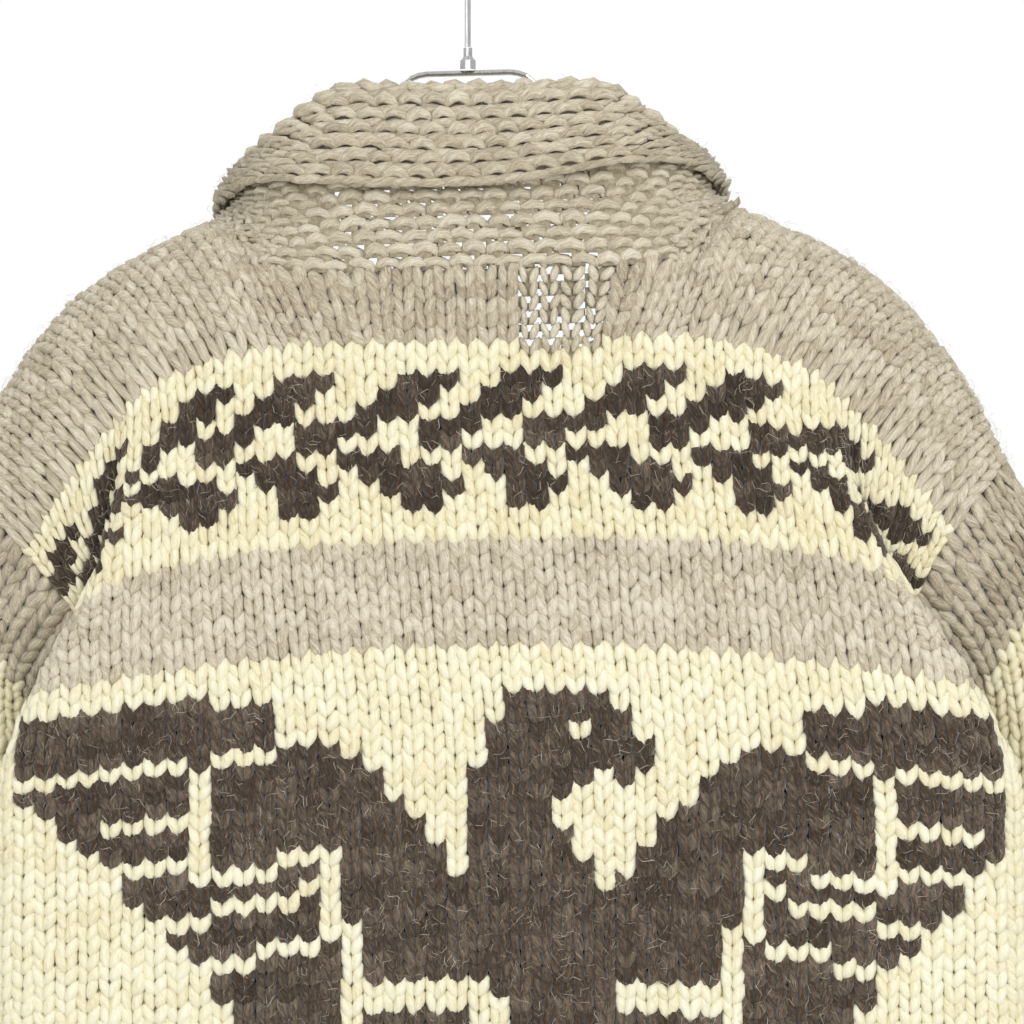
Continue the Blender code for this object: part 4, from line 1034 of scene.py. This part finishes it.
for side, sign in SIDES.items():
    grid = [[sleeve_place(w, r, sign) for w in range(SLEEVE_WALES)] for r in range(SLEEVE_ROWS + 1)]
    stitches, cells = defaultdict(list), []
    for row in range(SLEEVE_ROWS):
        middle = sum(grid[row], Vector()) / SLEEVE_WALES
        for wale in range(SLEEVE_WALES):
            after = (wale + 1) % SLEEVE_WALES
            places = [grid[row + 1][wale], grid[row + 1][after], grid[row][after], grid[row][wale]]
            keys = ((wale, row + 1), (after, row + 1), (after, row), (wale, row))
            outward = sum(places, Vector()) / 4 - middle
            outward -= (grid[row + 1][wale] - grid[row][wale]).normalized() * SLEEVE_LEAN
            colour = "grey" if row < SLEEVE_GREY_ROWS else "cream"
            tone = heather(wale, row, "sleeve" + side)
            stitches[colour].append(
                stitch_at(places[0], places[1], places[3], places[2], outward, tone=tone))
            cells.append((keys, places, outward, colour))
    knitting = []
    for number, (colour, found) in enumerate(sorted(stitches.items())):
        knitting.append(yarn_bends(f"sleeve_{side}_{colour}", found, PLAIN_LEG, colour, seed=31 + number,
                                   along=4, around=4))
        FUZZ.append((f"fuzz_sleeve_{side}_{colour}", found, colour, 250))
    cloth = cloth_sheet(f"sleeve_{side}_cloth", cells)
    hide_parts("sleeve_" + side)
    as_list(knitting)


# ---------------------------------------------------------------- ribbing of the hem and cuffs
# One plain and one purl stitch in turn: the plain wales stand up as ribs and the purl ones sink, which
# draws the edge in. The hem hangs from the back and both fronts, the cuffs from the sleeves.

RIB_LIFT, FURROW_LIFT, EDGE_LIFT = 1.6, -0.8, 1.0  # off the sheet, in millimetres
RIB_WIDE, RIB_THICK = 1.25, 1.1  # a rib's stitches spread over the furrows beside them
EDGE_ROWS, EDGE_DEPTH = (0.35, -0.65), 0.0022  # the bound-off chain lies over the last row's lower edge
DRAWN_IN = 0.18  # share of the ribbing's depth over which it draws in


def ribbing(name, edge, depth, draw, closed, seed):
    """Ribs down from a line of (place, facing) pairs, one a stitch, in the straight cardigan."""
    rows = round(depth / (ROW_HIGH * MILLIMETRES))
    wales = len(edge) if closed else len(edge) - 1

    def place(i, row, lift=0.0):
        spot, way = edge[i % len(edge)]
        share = row / rows
        pull = draw * min(share / DRAWN_IN, 1.0) - lift
        return in_place(spot + Vector((0, 0, -share * depth)) - way * pull)

    plain, purl, cells = [], [], []
    for wale in range(wales):
        out = edge[wale][1]
        for row in range(rows):
            rib = wale % 2 == 0
            corners = [(wale, row + 1), (wale + 1, row + 1), (wale + 1, row), (wale, row)]
            keys = [(i % len(edge) if closed else i, j) for i, j in corners]
            cells.append((keys, [place(*c) for c in corners], out, "grey"))
            spots = [place(*c, lift=RIB_LIFT if rib else FURROW_LIFT) for c in corners]
            found = stitch_at(spots[0], spots[1], spots[3], spots[2], out, tone=heather(wale, row, name))
            if rib:
                plain.append(found._replace(size=(found.size[0] * RIB_WIDE, found.size[1], RIB_THICK)))
            else:
                purl.append(found)
    chain = []
    low, high = (rows + late for late in EDGE_ROWS)
    for wale in range(wales):
        corners = [(wale, low), (wale + 1, low), (wale + 1, high), (wale, high)]
        spots = [place(*c, lift=EDGE_LIFT) for c in corners]
        chain.append(stitch_at(spots[0], spots[1], spots[3], spots[2], edge[wale][1], depth=EDGE_DEPTH))
    pieces = [
        yarn_bends(name + "_edge", chain, EDGE_CHAIN, "grey", seed=seed + 2, along=5, around=5,
                   both=False, taper=0.4),
        yarn_bends(name + "_ribs", plain, PLAIN_LEG, "grey", seed=seed, along=4, around=5),
        yarn_bends(name + "_furrows", purl, PURL_BUMP, "grey", seed=seed + 1, along=4, around=5,
                   both=False),
    ]
    cloth = cloth_sheet(name + "_cloth", cells)
    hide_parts(name)


def facing_out(courses, stitch, row):
    """The way a panel faces at a place, level."""
    ahead = panel_point(courses, stitch + 0.2, row) - panel_point(courses, stitch - 0.2, row)
    away = 1 if courses is BACK else -1
    return Vector((-ahead.y, ahead.x, 0)).normalized() * away


HEM_DEPTH, HEM_DRAW = 58, 1.5
CUFF_DEPTH, CUFF_DRAW = 52, 6
FRONT_HEM_WALES, CUFF_WALES = 24, 22

edge = [(panel_point(BACK, s, LAST_ROW), facing_out(BACK, s, LAST_ROW)) for s in range(-HALF, HALF + 1)]
ribbing("hem_back", edge, HEM_DEPTH, HEM_DRAW, False, 51)
for side, sign in SIDES.items():
    edge = []
    for i in range(FRONT_HEM_WALES + 1):
        stitch = sign * (FRONT_OPEN_STITCH + (HALF - FRONT_OPEN_STITCH) * i / FRONT_HEM_WALES)
        spot = panel_point(FRONT, stitch, LAST_ROW)
        spot.y += overlap(abs(stitch), sign)
        edge.append((spot, facing_out(FRONT, stitch, LAST_ROW)))
    ribbing("hem_" + side, edge, HEM_DEPTH, HEM_DRAW, False, 53 + sign)
    edge = []
    for i in range(CUFF_WALES):
        turn = 4 * i / CUFF_WALES
        spot = sleeve_point(turn, SLEEVE_ALONG[-1])
        ahead = sleeve_point((turn + 0.02) % 4, SLEEVE_ALONG[-1]) - spot
        way = Vector((ahead.y, -ahead.x, 0)).normalized()
        if way.dot(spot - Vector(SLEEVE[-1].centre)) < 0:
            way = -way
        edge.append((Vector((spot.x * sign, spot.y, spot.z)), Vector((way.x * sign, way.y, 0))))
    ribbing("cuff_" + side, edge, CUFF_DEPTH, CUFF_DRAW, True, 57 + sign)


# ---------------------------------------------------------------- the collar
# One long strip of garter stitch, sewn to the neckline. It stands up round the neck, folds over a
# soft roll and falls outside, ridged by its rows of bumps, and ends in a smooth chained edge.

NECK_LEAN_STITCHES = [0, 6, 9.4, 10.2, SHOULDER_STITCH]
NECK_LEANS = [
    Vector((0, 1, 0.1)),
    Vector((0.1, 1, 0.1)),
    Vector((0.5, 0.8, 0.3)),
    Vector((0.6, 0.5, 0.6)),
    Vector((0.5, 0, 0.85)),
]
FRONT_LEAN_ROWS = [-1, -0.8, -0.4, 1, 3, LAST_ROW]
FRONT_LEANS = [
    Vector((0.5, 0, 0.85)),
    Vector((0.5, -0.6, 0.6)),
    Vector((0.25, -0.92, 0.25)),
    Vector((0, -1, 0)),
    Vector((0, -1, 0)),
    Vector((0, -1, 0)),
]


def neck_lean(stitch):
    """The way the collar's foot faces at a stitch of the back neckline."""
    return along(NECK_LEAN_STITCHES, NECK_LEANS, stitch).normalized()


def front_edge_lean(row):
    """The way the collar's foot faces at a row of the front's neck edge."""
    return along(FRONT_LEAN_ROWS, FRONT_LEANS, row).normalized()


# Stations along the collar, from the centre of the back to the front end: where its base is sewn
# (a stitch on the back neckline, or a row down the front's neck edge), then how far from there the
# top of its fold and the lower edge of its fall lie.
Station = namedtuple("Station", "place base fold fall")
COLLAR = [
    Station("back", 0, (0, -8, 94), (0, 7, 44)),
    Station("back", 4, (-2, -8, 94.5), (2, 7, 45)),
    Station("back", 7, (-5.5, -9, 94), (1.5, 6, 47.5)),
    Station("back", 9, (-3, -10.5, 71.5), (6, 4.5, 43.5)),
    Station("back", 10.1, (-6, -6.5, 49.5), (7, 3.5, 27.5)),
    Station("back", SHOULDER_STITCH, (-9, -5, 23.5), (8, 0, 7)),
    Station("front", -0.9, (-10, -9, 22), (11, -10, 5)),
    Station("front", -0.66, (-13, -10, 20), (14, -15, 0)),
    Station("front", -0.3, (-17, -9, 18), (17, -17, -8)),
    Station("front", 0, (-19, -8, 18), (20, -15, -15)),
    Station("front", 3.25, (-20, -8, 20), (22, -14, -22)),
    Station("front", 6.5, (-18, -7, 20), (20, -14, -24)),
    Station("front", BAND_TOP_ROW, (-8, -6, 14), (9, -16, -18)),
]
COLLAR_WALL = 5.5
COLLAR_SINK = 0.6  # the stitches are rooted this far inside the wall's face
FOLD_RADIUS = 4.0
COLLAR_BUMP_WIDE = 12.2
FOOT_AT, FOOT_TOP = (78, 108), 0.75  # the stand's foot spreads on the shoulders, up to this share
FOOT_OUT, FOOT_DOWN, FOOT_OFF = 22, 3, 3
FOOT_CURVE = 1.2
# The fall is shorter over the shoulders, on the wearer's right, and again at its two sides.
SHOULDERS_AT, SHOULDERS_SHORT = (80, 110), 0.16
RIGHT_AT, RIGHT_SHORT = (-10, -80), 0.18
FLANK_AT, FLANK_SHORT = (92, 108), {"left": 0.10, "right": 0.18}
FALL_FRONT = -10  # behind this depth the fall lies on the back


def collar_line():
    """The strip from the right front round the back to the left: seam, fold, fall edge, facing."""
    halves = []
    for sign in (-1, 1):
        half = []
        for station in COLLAR:
            if station.place == "back":
                base, lean, stitch = top_line(station.base), neck_lean(station.base), HALF
            else:
                stitch = neck_edge(station.base)
                base, lean = panel_point(FRONT, stitch, station.base), front_edge_lean(station.base)
            base = base + Vector((0, overlap(stitch, sign), 0))
            four = (base, base + Vector(station.fold), base + Vector(station.fall), lean)
            half.append([Vector((v.x * sign, v.y, v.z)) for v in four])
        halves.append(half)
    return list(reversed(halves[0]))[:-1] + halves[1]


collar_stations = collar_line()
collar_knots = [0.0]
for before, after in zip(collar_stations, collar_stations[1:]):
    step = (after[1] + after[2] - before[1] - before[2]).length / 2
    collar_knots.append(collar_knots[-1] + step)
COLLAR_BUMPS = round(collar_knots[-1] / COLLAR_BUMP_WIDE)


def fall_share(place):
    """How much of its full depth the fall has below a place on the fold."""
    share = 1.0
    if place.y > FALL_FRONT:
        share -= SHOULDERS_SHORT * ramp(abs(place.x), *SHOULDERS_AT)
        share -= RIGHT_SHORT * ramp(place.x, *RIGHT_AT)
    return share - FLANK_SHORT["right" if place.x < 0 else "left"] * ramp(abs(place.x), *FLANK_AT)


def collar_place(along_it, part, share, face):
    """A place on the strip, and the way it faces. part is stand, fold or fall.

    face is 1 on the side that lies next to the neck and comes out over the fold, -1 on the other
    side, and 0 midway."""
    x = min(max(along_it, 0), 1) * collar_knots[-1]
    base, fold, fall, lean = (along(collar_knots, [s[i] for s in collar_stations], x) for i in range(4))
    lean.normalize()
    up = (fold - base).normalized()
    out = fall - fold
    out = (out - up * out.dot(up)).normalized()
    half = COLLAR_WALL / 2
    pivot = fold - up * (FOLD_RADIUS + half)
    start, top = base - lean * half, pivot - out * FOLD_RADIUS
    if part == "stand":
        way = (-lean + (lean - out) * min(share, 1.0)).normalized()
        spot = start + (top - start) * share
        if face > 0:
            foot = ramp(abs(spot.x), *FOOT_AT) * max(1 - share / FOOT_TOP, 0) ** FOOT_CURVE
            aside = FOOT_OUT * foot * (1 if spot.x > 0 else -1)
            spot += Vector((aside, 0, -FOOT_DOWN * foot)) + way * FOOT_OFF * foot
    elif part == "fold":
        way = -out * cos(share * pi) + up * sin(share * pi)
        spot = pivot + way * FOLD_RADIUS
    else:
        way = out
        turned = pivot + out * FOLD_RADIUS
        spot = turned + (fall - out * half - turned) * share * fall_share(turned)
    return in_place(spot + way * face * (half - COLLAR_SINK)), way * face


def rows_in(part, pitch):
    """How many rows of bumps, pitch millimetres apart, fit up a part of the strip at its middle."""
    ends = [collar_place(0.5, part, share, 1.0)[0] for share in (0.0, 0.5, 1.0)]
    return round(((ends[1] - ends[0]).length + (ends[2] - ends[1]).length) * MILLIMETRES / pitch)


STAND_ROWS, FOLD_ROWS, FALL_ROWS = rows_in("stand", 7.0), 2, rows_in("fall", 7.6)
ROW_SHIFT = 0.14  # of a bump, by which a row may start early or late
LOOSE_FROM, LOOSE_TO, LOOSE_SIZE = -0.068, 0.070, 0.96
LOOSE_DIPS = 0.5  # as many dips as lie above this, from -1 to 1, are there
DIP_SHIFT = 0.5  # of a bump along the row, and of a row down
BUMP_DEPTH, DIP_DEPTH = 0.0012, 0.0018
STAND_TONE = 0.04  # the stand is a little paler than the fall


def first_bump(part, row):
    """How far along its first bump a row starts: each row sits half a bump past the last."""
    return 0.5 * (row % 2) + ROW_SHIFT * steady((part, row))


def loosest(part, middle):
    """Whether a place lies in the stand behind the neck, where the strip is knitted loosest."""
    return part == "stand" and middle.y > 0 and LOOSE_FROM < middle.x < LOOSE_TO


def garter_stitch(part, rows, face, row, number, dip):
    """A bump of a garter row, or the dip that shows below it and half a bump further on.

    There is none where the strip ends, nor for some of the dips in the loosest part."""
    late, lower = (DIP_SHIFT, DIP_SHIFT) if dip else (0.0, 0.0)
    start = first_bump(part, row) + late
    a, b = (number + start) / COLLAR_BUMPS, (number + 1 + start) / COLLAR_BUMPS
    if a < 0 or b > 1:
        return None
    low, high = (row - lower) / rows, (row + 1 - lower) / rows
    spots = [collar_place(x, part, y, face) for x, y in ((a, low), (b, low), (b, high), (a, high))]
    out, p = spots[0][1], [spot[0] for spot in spots]
    loose = loosest(part, (p[0] + p[2]) / 2)
    if loose and dip and steady(("loose", row, number)) < LOOSE_DIPS:
        return None
    if part == "fall":  # here the strip hangs upside down
        p = p[::-1]
    elif face < 0:  # and here it is seen from its other side
        p = [p[1], p[0], p[3], p[2]]
    tone = heather(number, row * 2 + dip, "collar" + part)
    if part == "stand":
        tone += STAND_TONE
    return stitch_at(p[0], p[1], p[3], p[2], out, depth=DIP_DEPTH if dip else BUMP_DEPTH, tone=tone,
                     size=LOOSE_SIZE if loose else None)


PARTS = (("stand", STAND_ROWS, -1), ("stand", STAND_ROWS, 1), ("fold", FOLD_ROWS, 1),
         ("fall", FALL_ROWS, 1))  # the stand's outer side, then up beside the neck, over and down
bumps, dips = [], []
for part, rows, face in PARTS:
    for row in range(rows):
        for number in range(-1, COLLAR_BUMPS):
            bumps.append(garter_stitch(part, rows, face, row, number, False))
            if face > 0:
                dips.append(garter_stitch(part, rows, face, row, number, True))
bumps, dips = ([stitch for stitch in found if stitch] for found in (bumps, dips))

QUARTERS = 4  # cells of the sheet for each bump
JOINT_OPEN = 0.7  # light comes through up to this many quarters beside the joint of two bumps
JOINTS_SHUT = -0.8  # as many joints as lie below this, from -1 to 1, stay shut


def through(part, row, quarter, middle):
    """Whether light comes through the sheet here, in the loosest part of the stand."""
    joint = first_bump(part, row) * QUARTERS  # where one bump of the row ends and the next begins
    beside = min((quarter - joint) % QUARTERS, (joint - quarter) % QUARTERS)
    opened = steady((row, round(middle.x, 3))) > JOINTS_SHUT
    return loosest(part, middle) and beside < JOINT_OPEN and opened


levels = [("stand", i / STAND_ROWS) for i in range(STAND_ROWS)]
levels += [("fold", i / FOLD_ROWS) for i in range(FOLD_ROWS)]
levels += [("fall", i / FALL_ROWS) for i in range(FALL_ROWS + 1)]
cells = []
for j, (low, high) in enumerate(zip(levels, levels[1:])):
    for i in range(COLLAR_BUMPS * QUARTERS):
        keys = ((i, j), (i + 1, j), (i + 1, j + 1), (i, j + 1))
        places = [collar_place(a / COLLAR_BUMPS / QUARTERS, *level, 0.0)[0]
                  for a, level in ((i, low), (i + 1, low), (i + 1, high), (i, high))]
        if through(low[0], j, i % QUARTERS, (places[0] + places[2]) / 2):
            continue
        out = collar_place((i + 0.5) / COLLAR_BUMPS / QUARTERS, *low, 1.0)[1]
        cells.append((keys, places, out, "grey"))

CHAIN_LOW, CHAIN_HIGH, CHAIN_DEPTH = 1.08, 0.94, 0.0018  # the edge chain hangs just past the fall's end
chain = []
for i in range(COLLAR_BUMPS):
    corners = ((i, CHAIN_LOW), (i + 1, CHAIN_LOW), (i + 1, CHAIN_HIGH), (i, CHAIN_HIGH))
    spots = [collar_place(a / COLLAR_BUMPS, "fall", share, 1.0) for a, share in corners]
    p = [spot[0] for spot in spots]
    chain.append(stitch_at(p[0], p[1], p[3], p[2], spots[0][1], depth=CHAIN_DEPTH,
                           tone=heather(i, 0, "chain")))
collar_pieces = [
    yarn_bends("collar_bumps", bumps, GARTER_BUMP, "grey", seed=61, radius=0.0032, along=7, around=6,
               both=False, uneven=0.16, taper=0.7),
    yarn_bends("collar_dips", dips, GARTER_DIP, "grey", seed=62, radius=0.0032, along=5, around=4,
               both=False, uneven=0.16, taper=0.9),
    yarn_bends("collar_chain", chain, EDGE_CHAIN, "grey", seed=63, radius=0.0033, along=6, around=6,
               both=False, uneven=0.10, taper=0.4),
]
FUZZ.append(("fuzz_collar", bumps, "grey", 2200))
collar_cloth = cloth_sheet("collar_cloth", cells, depth=0.0010, thick=0.0016)
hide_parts("collar")


# ---------------------------------------------------------------- the button bands
# Two long strips of garter stitch up the front edges, their ridges running up and down. The wearer's
# left one lies over the right and carries the buttons.

BAND_HALF_WIDTH = 16.9
BAND_TOP, BAND_BOTTOM = -314, -839
BAND_STITCHES, BAND_RIDGES = 44, 4
BAND_DEPTH = 0.0016
BAND_ROWS = ((0, 0), (0.5, 0.45))  # the ridge's bumps, then those of the row between: down and across
FRONTWARDS = Vector((0, -1, 0))


def band_place(sign, ridge, stitch):
    """A place on a band: ridges are counted across it, stitches down it."""
    across = BAND_HALF_WIDTH * (2 * ridge / BAND_RIDGES - 1)
    z = BAND_TOP + (BAND_BOTTOM - BAND_TOP) * stitch / BAND_STITCHES
    rows, heights = [c.row for c in FRONT], [c.middle[1] for c in FRONT]
    row = along(heights[::-1], [float(r) for r in rows[::-1]], max(z, heights[-1]))
    middle = along(rows, [c.middle[0] for c in FRONT], min(max(row, 0), LAST_ROW))
    return in_place(Vector((across, middle + overlap(0, sign), z)))


for side, sign in SIDES.items():
    bumps, cells = [], []
    for i in range(BAND_STITCHES):
        for j in range(BAND_RIDGES):
            keys = ((i, j), (i + 1, j), (i + 1, j + 1), (i, j + 1))
            cells.append((keys, [band_place(sign, b, a) for a, b in keys], FRONTWARDS, "grey"))
            for late, drop in BAND_ROWS:
                if i + 1 + late > BAND_STITCHES:
                    continue
                p = [band_place(sign, b - drop if b > drop else b, a + late) for a, b in keys]
                corners = (p[2], p[3], p[1], p[0]) if late else (p[0], p[1], p[3], p[2])
                tone = heather(i, j + late, "band" + side)
                bumps.append(stitch_at(*corners, FRONTWARDS, depth=BAND_DEPTH, tone=tone))
    pieces = [yarn_bends(f"band_{side}_bumps", bumps, PURL_BUMP, "grey", seed=71 + sign, radius=0.0028,
                         along=4, around=5, both=False, uneven=0.14, taper=0.5)]
    cloth = cloth_sheet(f"band_{side}_cloth", cells)
    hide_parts("band_" + side)


# ---------------------------------------------------------------- the fuzz
# Handspun wool is barely twisted, so short fibres stand out all over it, most of them curled back on
# the cloth. They are fine closed strands set at random on the stitches of the back, sleeves and collar.

HAIR = {
    "Start": (0.0, 0.0, 0.0008), "Start Handle": (0.20, 0.35, 0.0052),
    "End Handle": (-0.25, 0.75, 0.0066), "End": (0.10, 1.05, 0.0022),
}
HAIR_ASIDE, HAIR_UP, HAIR_OUT = 0.005, 0.004, 0.0015  # how far from its stitch's middle a hair grows
HAIR_LONG, HAIR_RAISED = (0.5, 1.15), (0.35, 1.0)  # its length and its height off the cloth, of HAIR's
HAIR_TONE = (0.0, 0.3)
for name, hosts, colour, count in FUZZ:
    pick = random.Random(name)
    hairs = []
    for _ in range(count):
        host = pick.choice(hosts)
        turn = Matrix.Rotation(pick.uniform(0, 2 * pi), 3, "Z")
        axes = Euler(host.turn).to_matrix()
        aside, up = pick.uniform(-HAIR_ASIDE, HAIR_ASIDE), pick.uniform(-HAIR_UP, HAIR_UP)
        long = pick.uniform(*HAIR_LONG)
        size = (long * pick.choice((-1, 1)), long, pick.uniform(*HAIR_RAISED))
        hairs.append(Stitch(host.place + axes @ Vector((aside, up, HAIR_OUT)),
                            tuple((axes @ turn).to_euler()), size, pick.uniform(*HAIR_TONE)))
    hair_colour = "grey" if colour == "brown" else colour  # pale hairs are spun into the brown wool
    yarn_bends(name, hairs, HAIR, hair_colour, seed=91, radius=0.00009, along=4, around=3, both=False,
               uneven=0.3)


# ---------------------------------------------------------------- the buttons
# Turned from dark wood with a raised rim and waxed.

def wood():
    material = bpy.data.materials.new("button_wood")
    material.use_nodes = True
    tree = material.node_tree
    shader = tree.nodes["Principled BSDF"]
    shader.inputs["Roughness"].default_value = 0.42
    shader.inputs["Coat Weight"].default_value = 0.25
    place = shader_node(tree, "ShaderNodeTexCoord").outputs["Object"]
    stretched = shader_node(tree, "ShaderNodeMapping", {"Vector": place, "Scale": (300, 300, 60)})
    grain = shader_node(tree, "ShaderNodeTexNoise",
                        {"Vector": stretched.outputs[0], "Scale": 1.0, "Detail": 5.0, "Distortion": 0.8})
    tones = shader_node(tree, "ShaderNodeValToRGB", {0: grain.outputs[0]})
    stops = tones.color_ramp.elements
    stops[0].position, stops[0].color = 0.35, (0.05, 0.022, 0.012, 1)
    stops[1].position, stops[1].color = 0.68, (0.22, 0.11, 0.055, 1)
    tree.links.new(tones.outputs["Color"], shader.inputs["Base Color"])
    bump = shader_node(tree, "ShaderNodeBump",
                       {"Height": grain.outputs[0], "Strength": 0.25, "Distance": 0.0003})
    tree.links.new(bump.outputs["Normal"], shader.inputs["Normal"])
    return material


button_wood = wood()
for number in range(1, 7):
    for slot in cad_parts[f"button_{number}"].material_slots:
        slot.material = button_wood


# ---------------------------------------------------------------- the hanger
# Polished chrome wire: a hook and rod, a turned ferrule, and arms bent from one length of wire.

def chrome():
    material = bpy.data.materials.new("hanger_chrome")
    material.use_nodes = True
    tree = material.node_tree
    shader = tree.nodes["Principled BSDF"]
    shader.inputs["Metallic"].default_value = 1.0
    place = shader_node(tree, "ShaderNodeTexCoord").outputs["Object"]
    drawn = shader_node(tree, "ShaderNodeMapping", {"Vector": place, "Scale": (900, 900, 120)})
    lines = shader_node(tree, "ShaderNodeTexNoise",
                        {"Vector": drawn.outputs[0], "Scale": 1.0, "Detail": 3.0})
    tones = shader_node(tree, "ShaderNodeValToRGB", {0: lines.outputs[0]})
    stops = tones.color_ramp.elements
    stops[0].position, stops[0].color = 0.3, (0.42, 0.42, 0.43, 1)
    stops[1].position, stops[1].color = 0.7, (0.66, 0.66, 0.67, 1)
    tree.links.new(tones.outputs["Color"], shader.inputs["Base Color"])
    polish = shader_node(tree, "ShaderNodeMapRange", {0: lines.outputs[0], 3: 0.08, 4: 0.22})
    tree.links.new(polish.outputs[0], shader.inputs["Roughness"])
    return material


hanger_chrome = chrome()
for name in ("hanger_hook", "hanger_ferrule", "hanger_arms"):
    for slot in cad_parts[name].material_slots:
        slot.material = hanger_chrome


# ---------------------------------------------------------------- room, light and camera
# A pale room with a white wall of light, and a long lens level with the cardigan's shoulders.

FLOOR_REACH, FLOOR_LEVEL = 4, -1.05
floor_mesh = bpy.data.meshes.new("floor")
floor_corners = [(FLOOR_REACH * x, FLOOR_REACH * y, FLOOR_LEVEL)
                 for x, y in ((-1, -1), (1, -1), (1, 1), (-1, 1))]
floor_mesh.from_pydata(floor_corners, [], [(0, 1, 2, 3)])
floor = bpy.data.objects.new("floor", floor_mesh)
bpy.context.scene.collection.objects.link(floor)
paint = bpy.data.materials.new("pale_floor")
paint.use_nodes = True
coat = paint.node_tree.nodes["Principled BSDF"]
coat.inputs["Base Color"].default_value = (0.82, 0.81, 0.79, 1)
coat.inputs["Roughness"].default_value = 0.9
floor_mesh.materials.append(paint)

world = bpy.data.worlds.new("white_room")
world.use_nodes = True
backdrop = world.node_tree.nodes["Background"]
backdrop.inputs["Color"].default_value = (1, 1, 1, 1)
glow = shader_node(world.node_tree, "ShaderNodeBackground")
way = shader_node(world.node_tree, "ShaderNodeTexCoord").outputs["Generated"]
level = shader_node(world.node_tree, "ShaderNodeSeparateXYZ", {0: way}).outputs["Z"]
sky = shader_node(world.node_tree, "ShaderNodeMapRange", {0: level, 1: -1.0, 2: 1.0, 3: 0.68, 4: 1.1})
world.node_tree.links.new(sky.outputs[0], glow.inputs["Strength"])
straight = shader_node(world.node_tree, "ShaderNodeLightPath").outputs["Is Camera Ray"]
mixed = shader_node(world.node_tree, "ShaderNodeMixShader",
                    {0: straight, 1: glow.outputs[0], 2: backdrop.outputs[0]})
world.node_tree.links.new(mixed.outputs[0], world.node_tree.nodes["World Output"].inputs["Surface"])
bpy.context.scene.world = world

Lamp = namedtuple("Lamp", "name place size power")
LAMPS = (
    Lamp("key", (-1.0, 2.2, 0.9), 1.4, 24),
    Lamp("fill", (1.4, 2.3, 0.1), 1.6, 9),
    Lamp("front", (0.4, -2.4, 0.4), 1.8, 10),
)
LIT_PLACE = Vector((0, 0, -0.35))
for lamp in LAMPS:
    glass = bpy.data.lights.new(lamp.name, "AREA")
    glass.size, glass.energy = lamp.size, lamp.power
    light = bpy.data.objects.new(lamp.name, glass)
    light.location = lamp.place
    light.rotation_euler = (LIT_PLACE - Vector(lamp.place)).to_track_quat("-Z", "Y").to_euler()
    bpy.context.scene.collection.objects.link(light)

lens = bpy.data.cameras.new("camera")
lens.lens, lens.clip_start, lens.clip_end = 207.5, 0.1, 20
camera = bpy.data.objects.new("camera", lens)
camera.location = (-0.0225, 3.0, -0.322)
camera.rotation_euler = (pi / 2, 0, pi)
bpy.context.scene.collection.objects.link(camera)
bpy.context.scene.camera = camera
bpy.context.scene.view_settings.view_transform = "Standard"
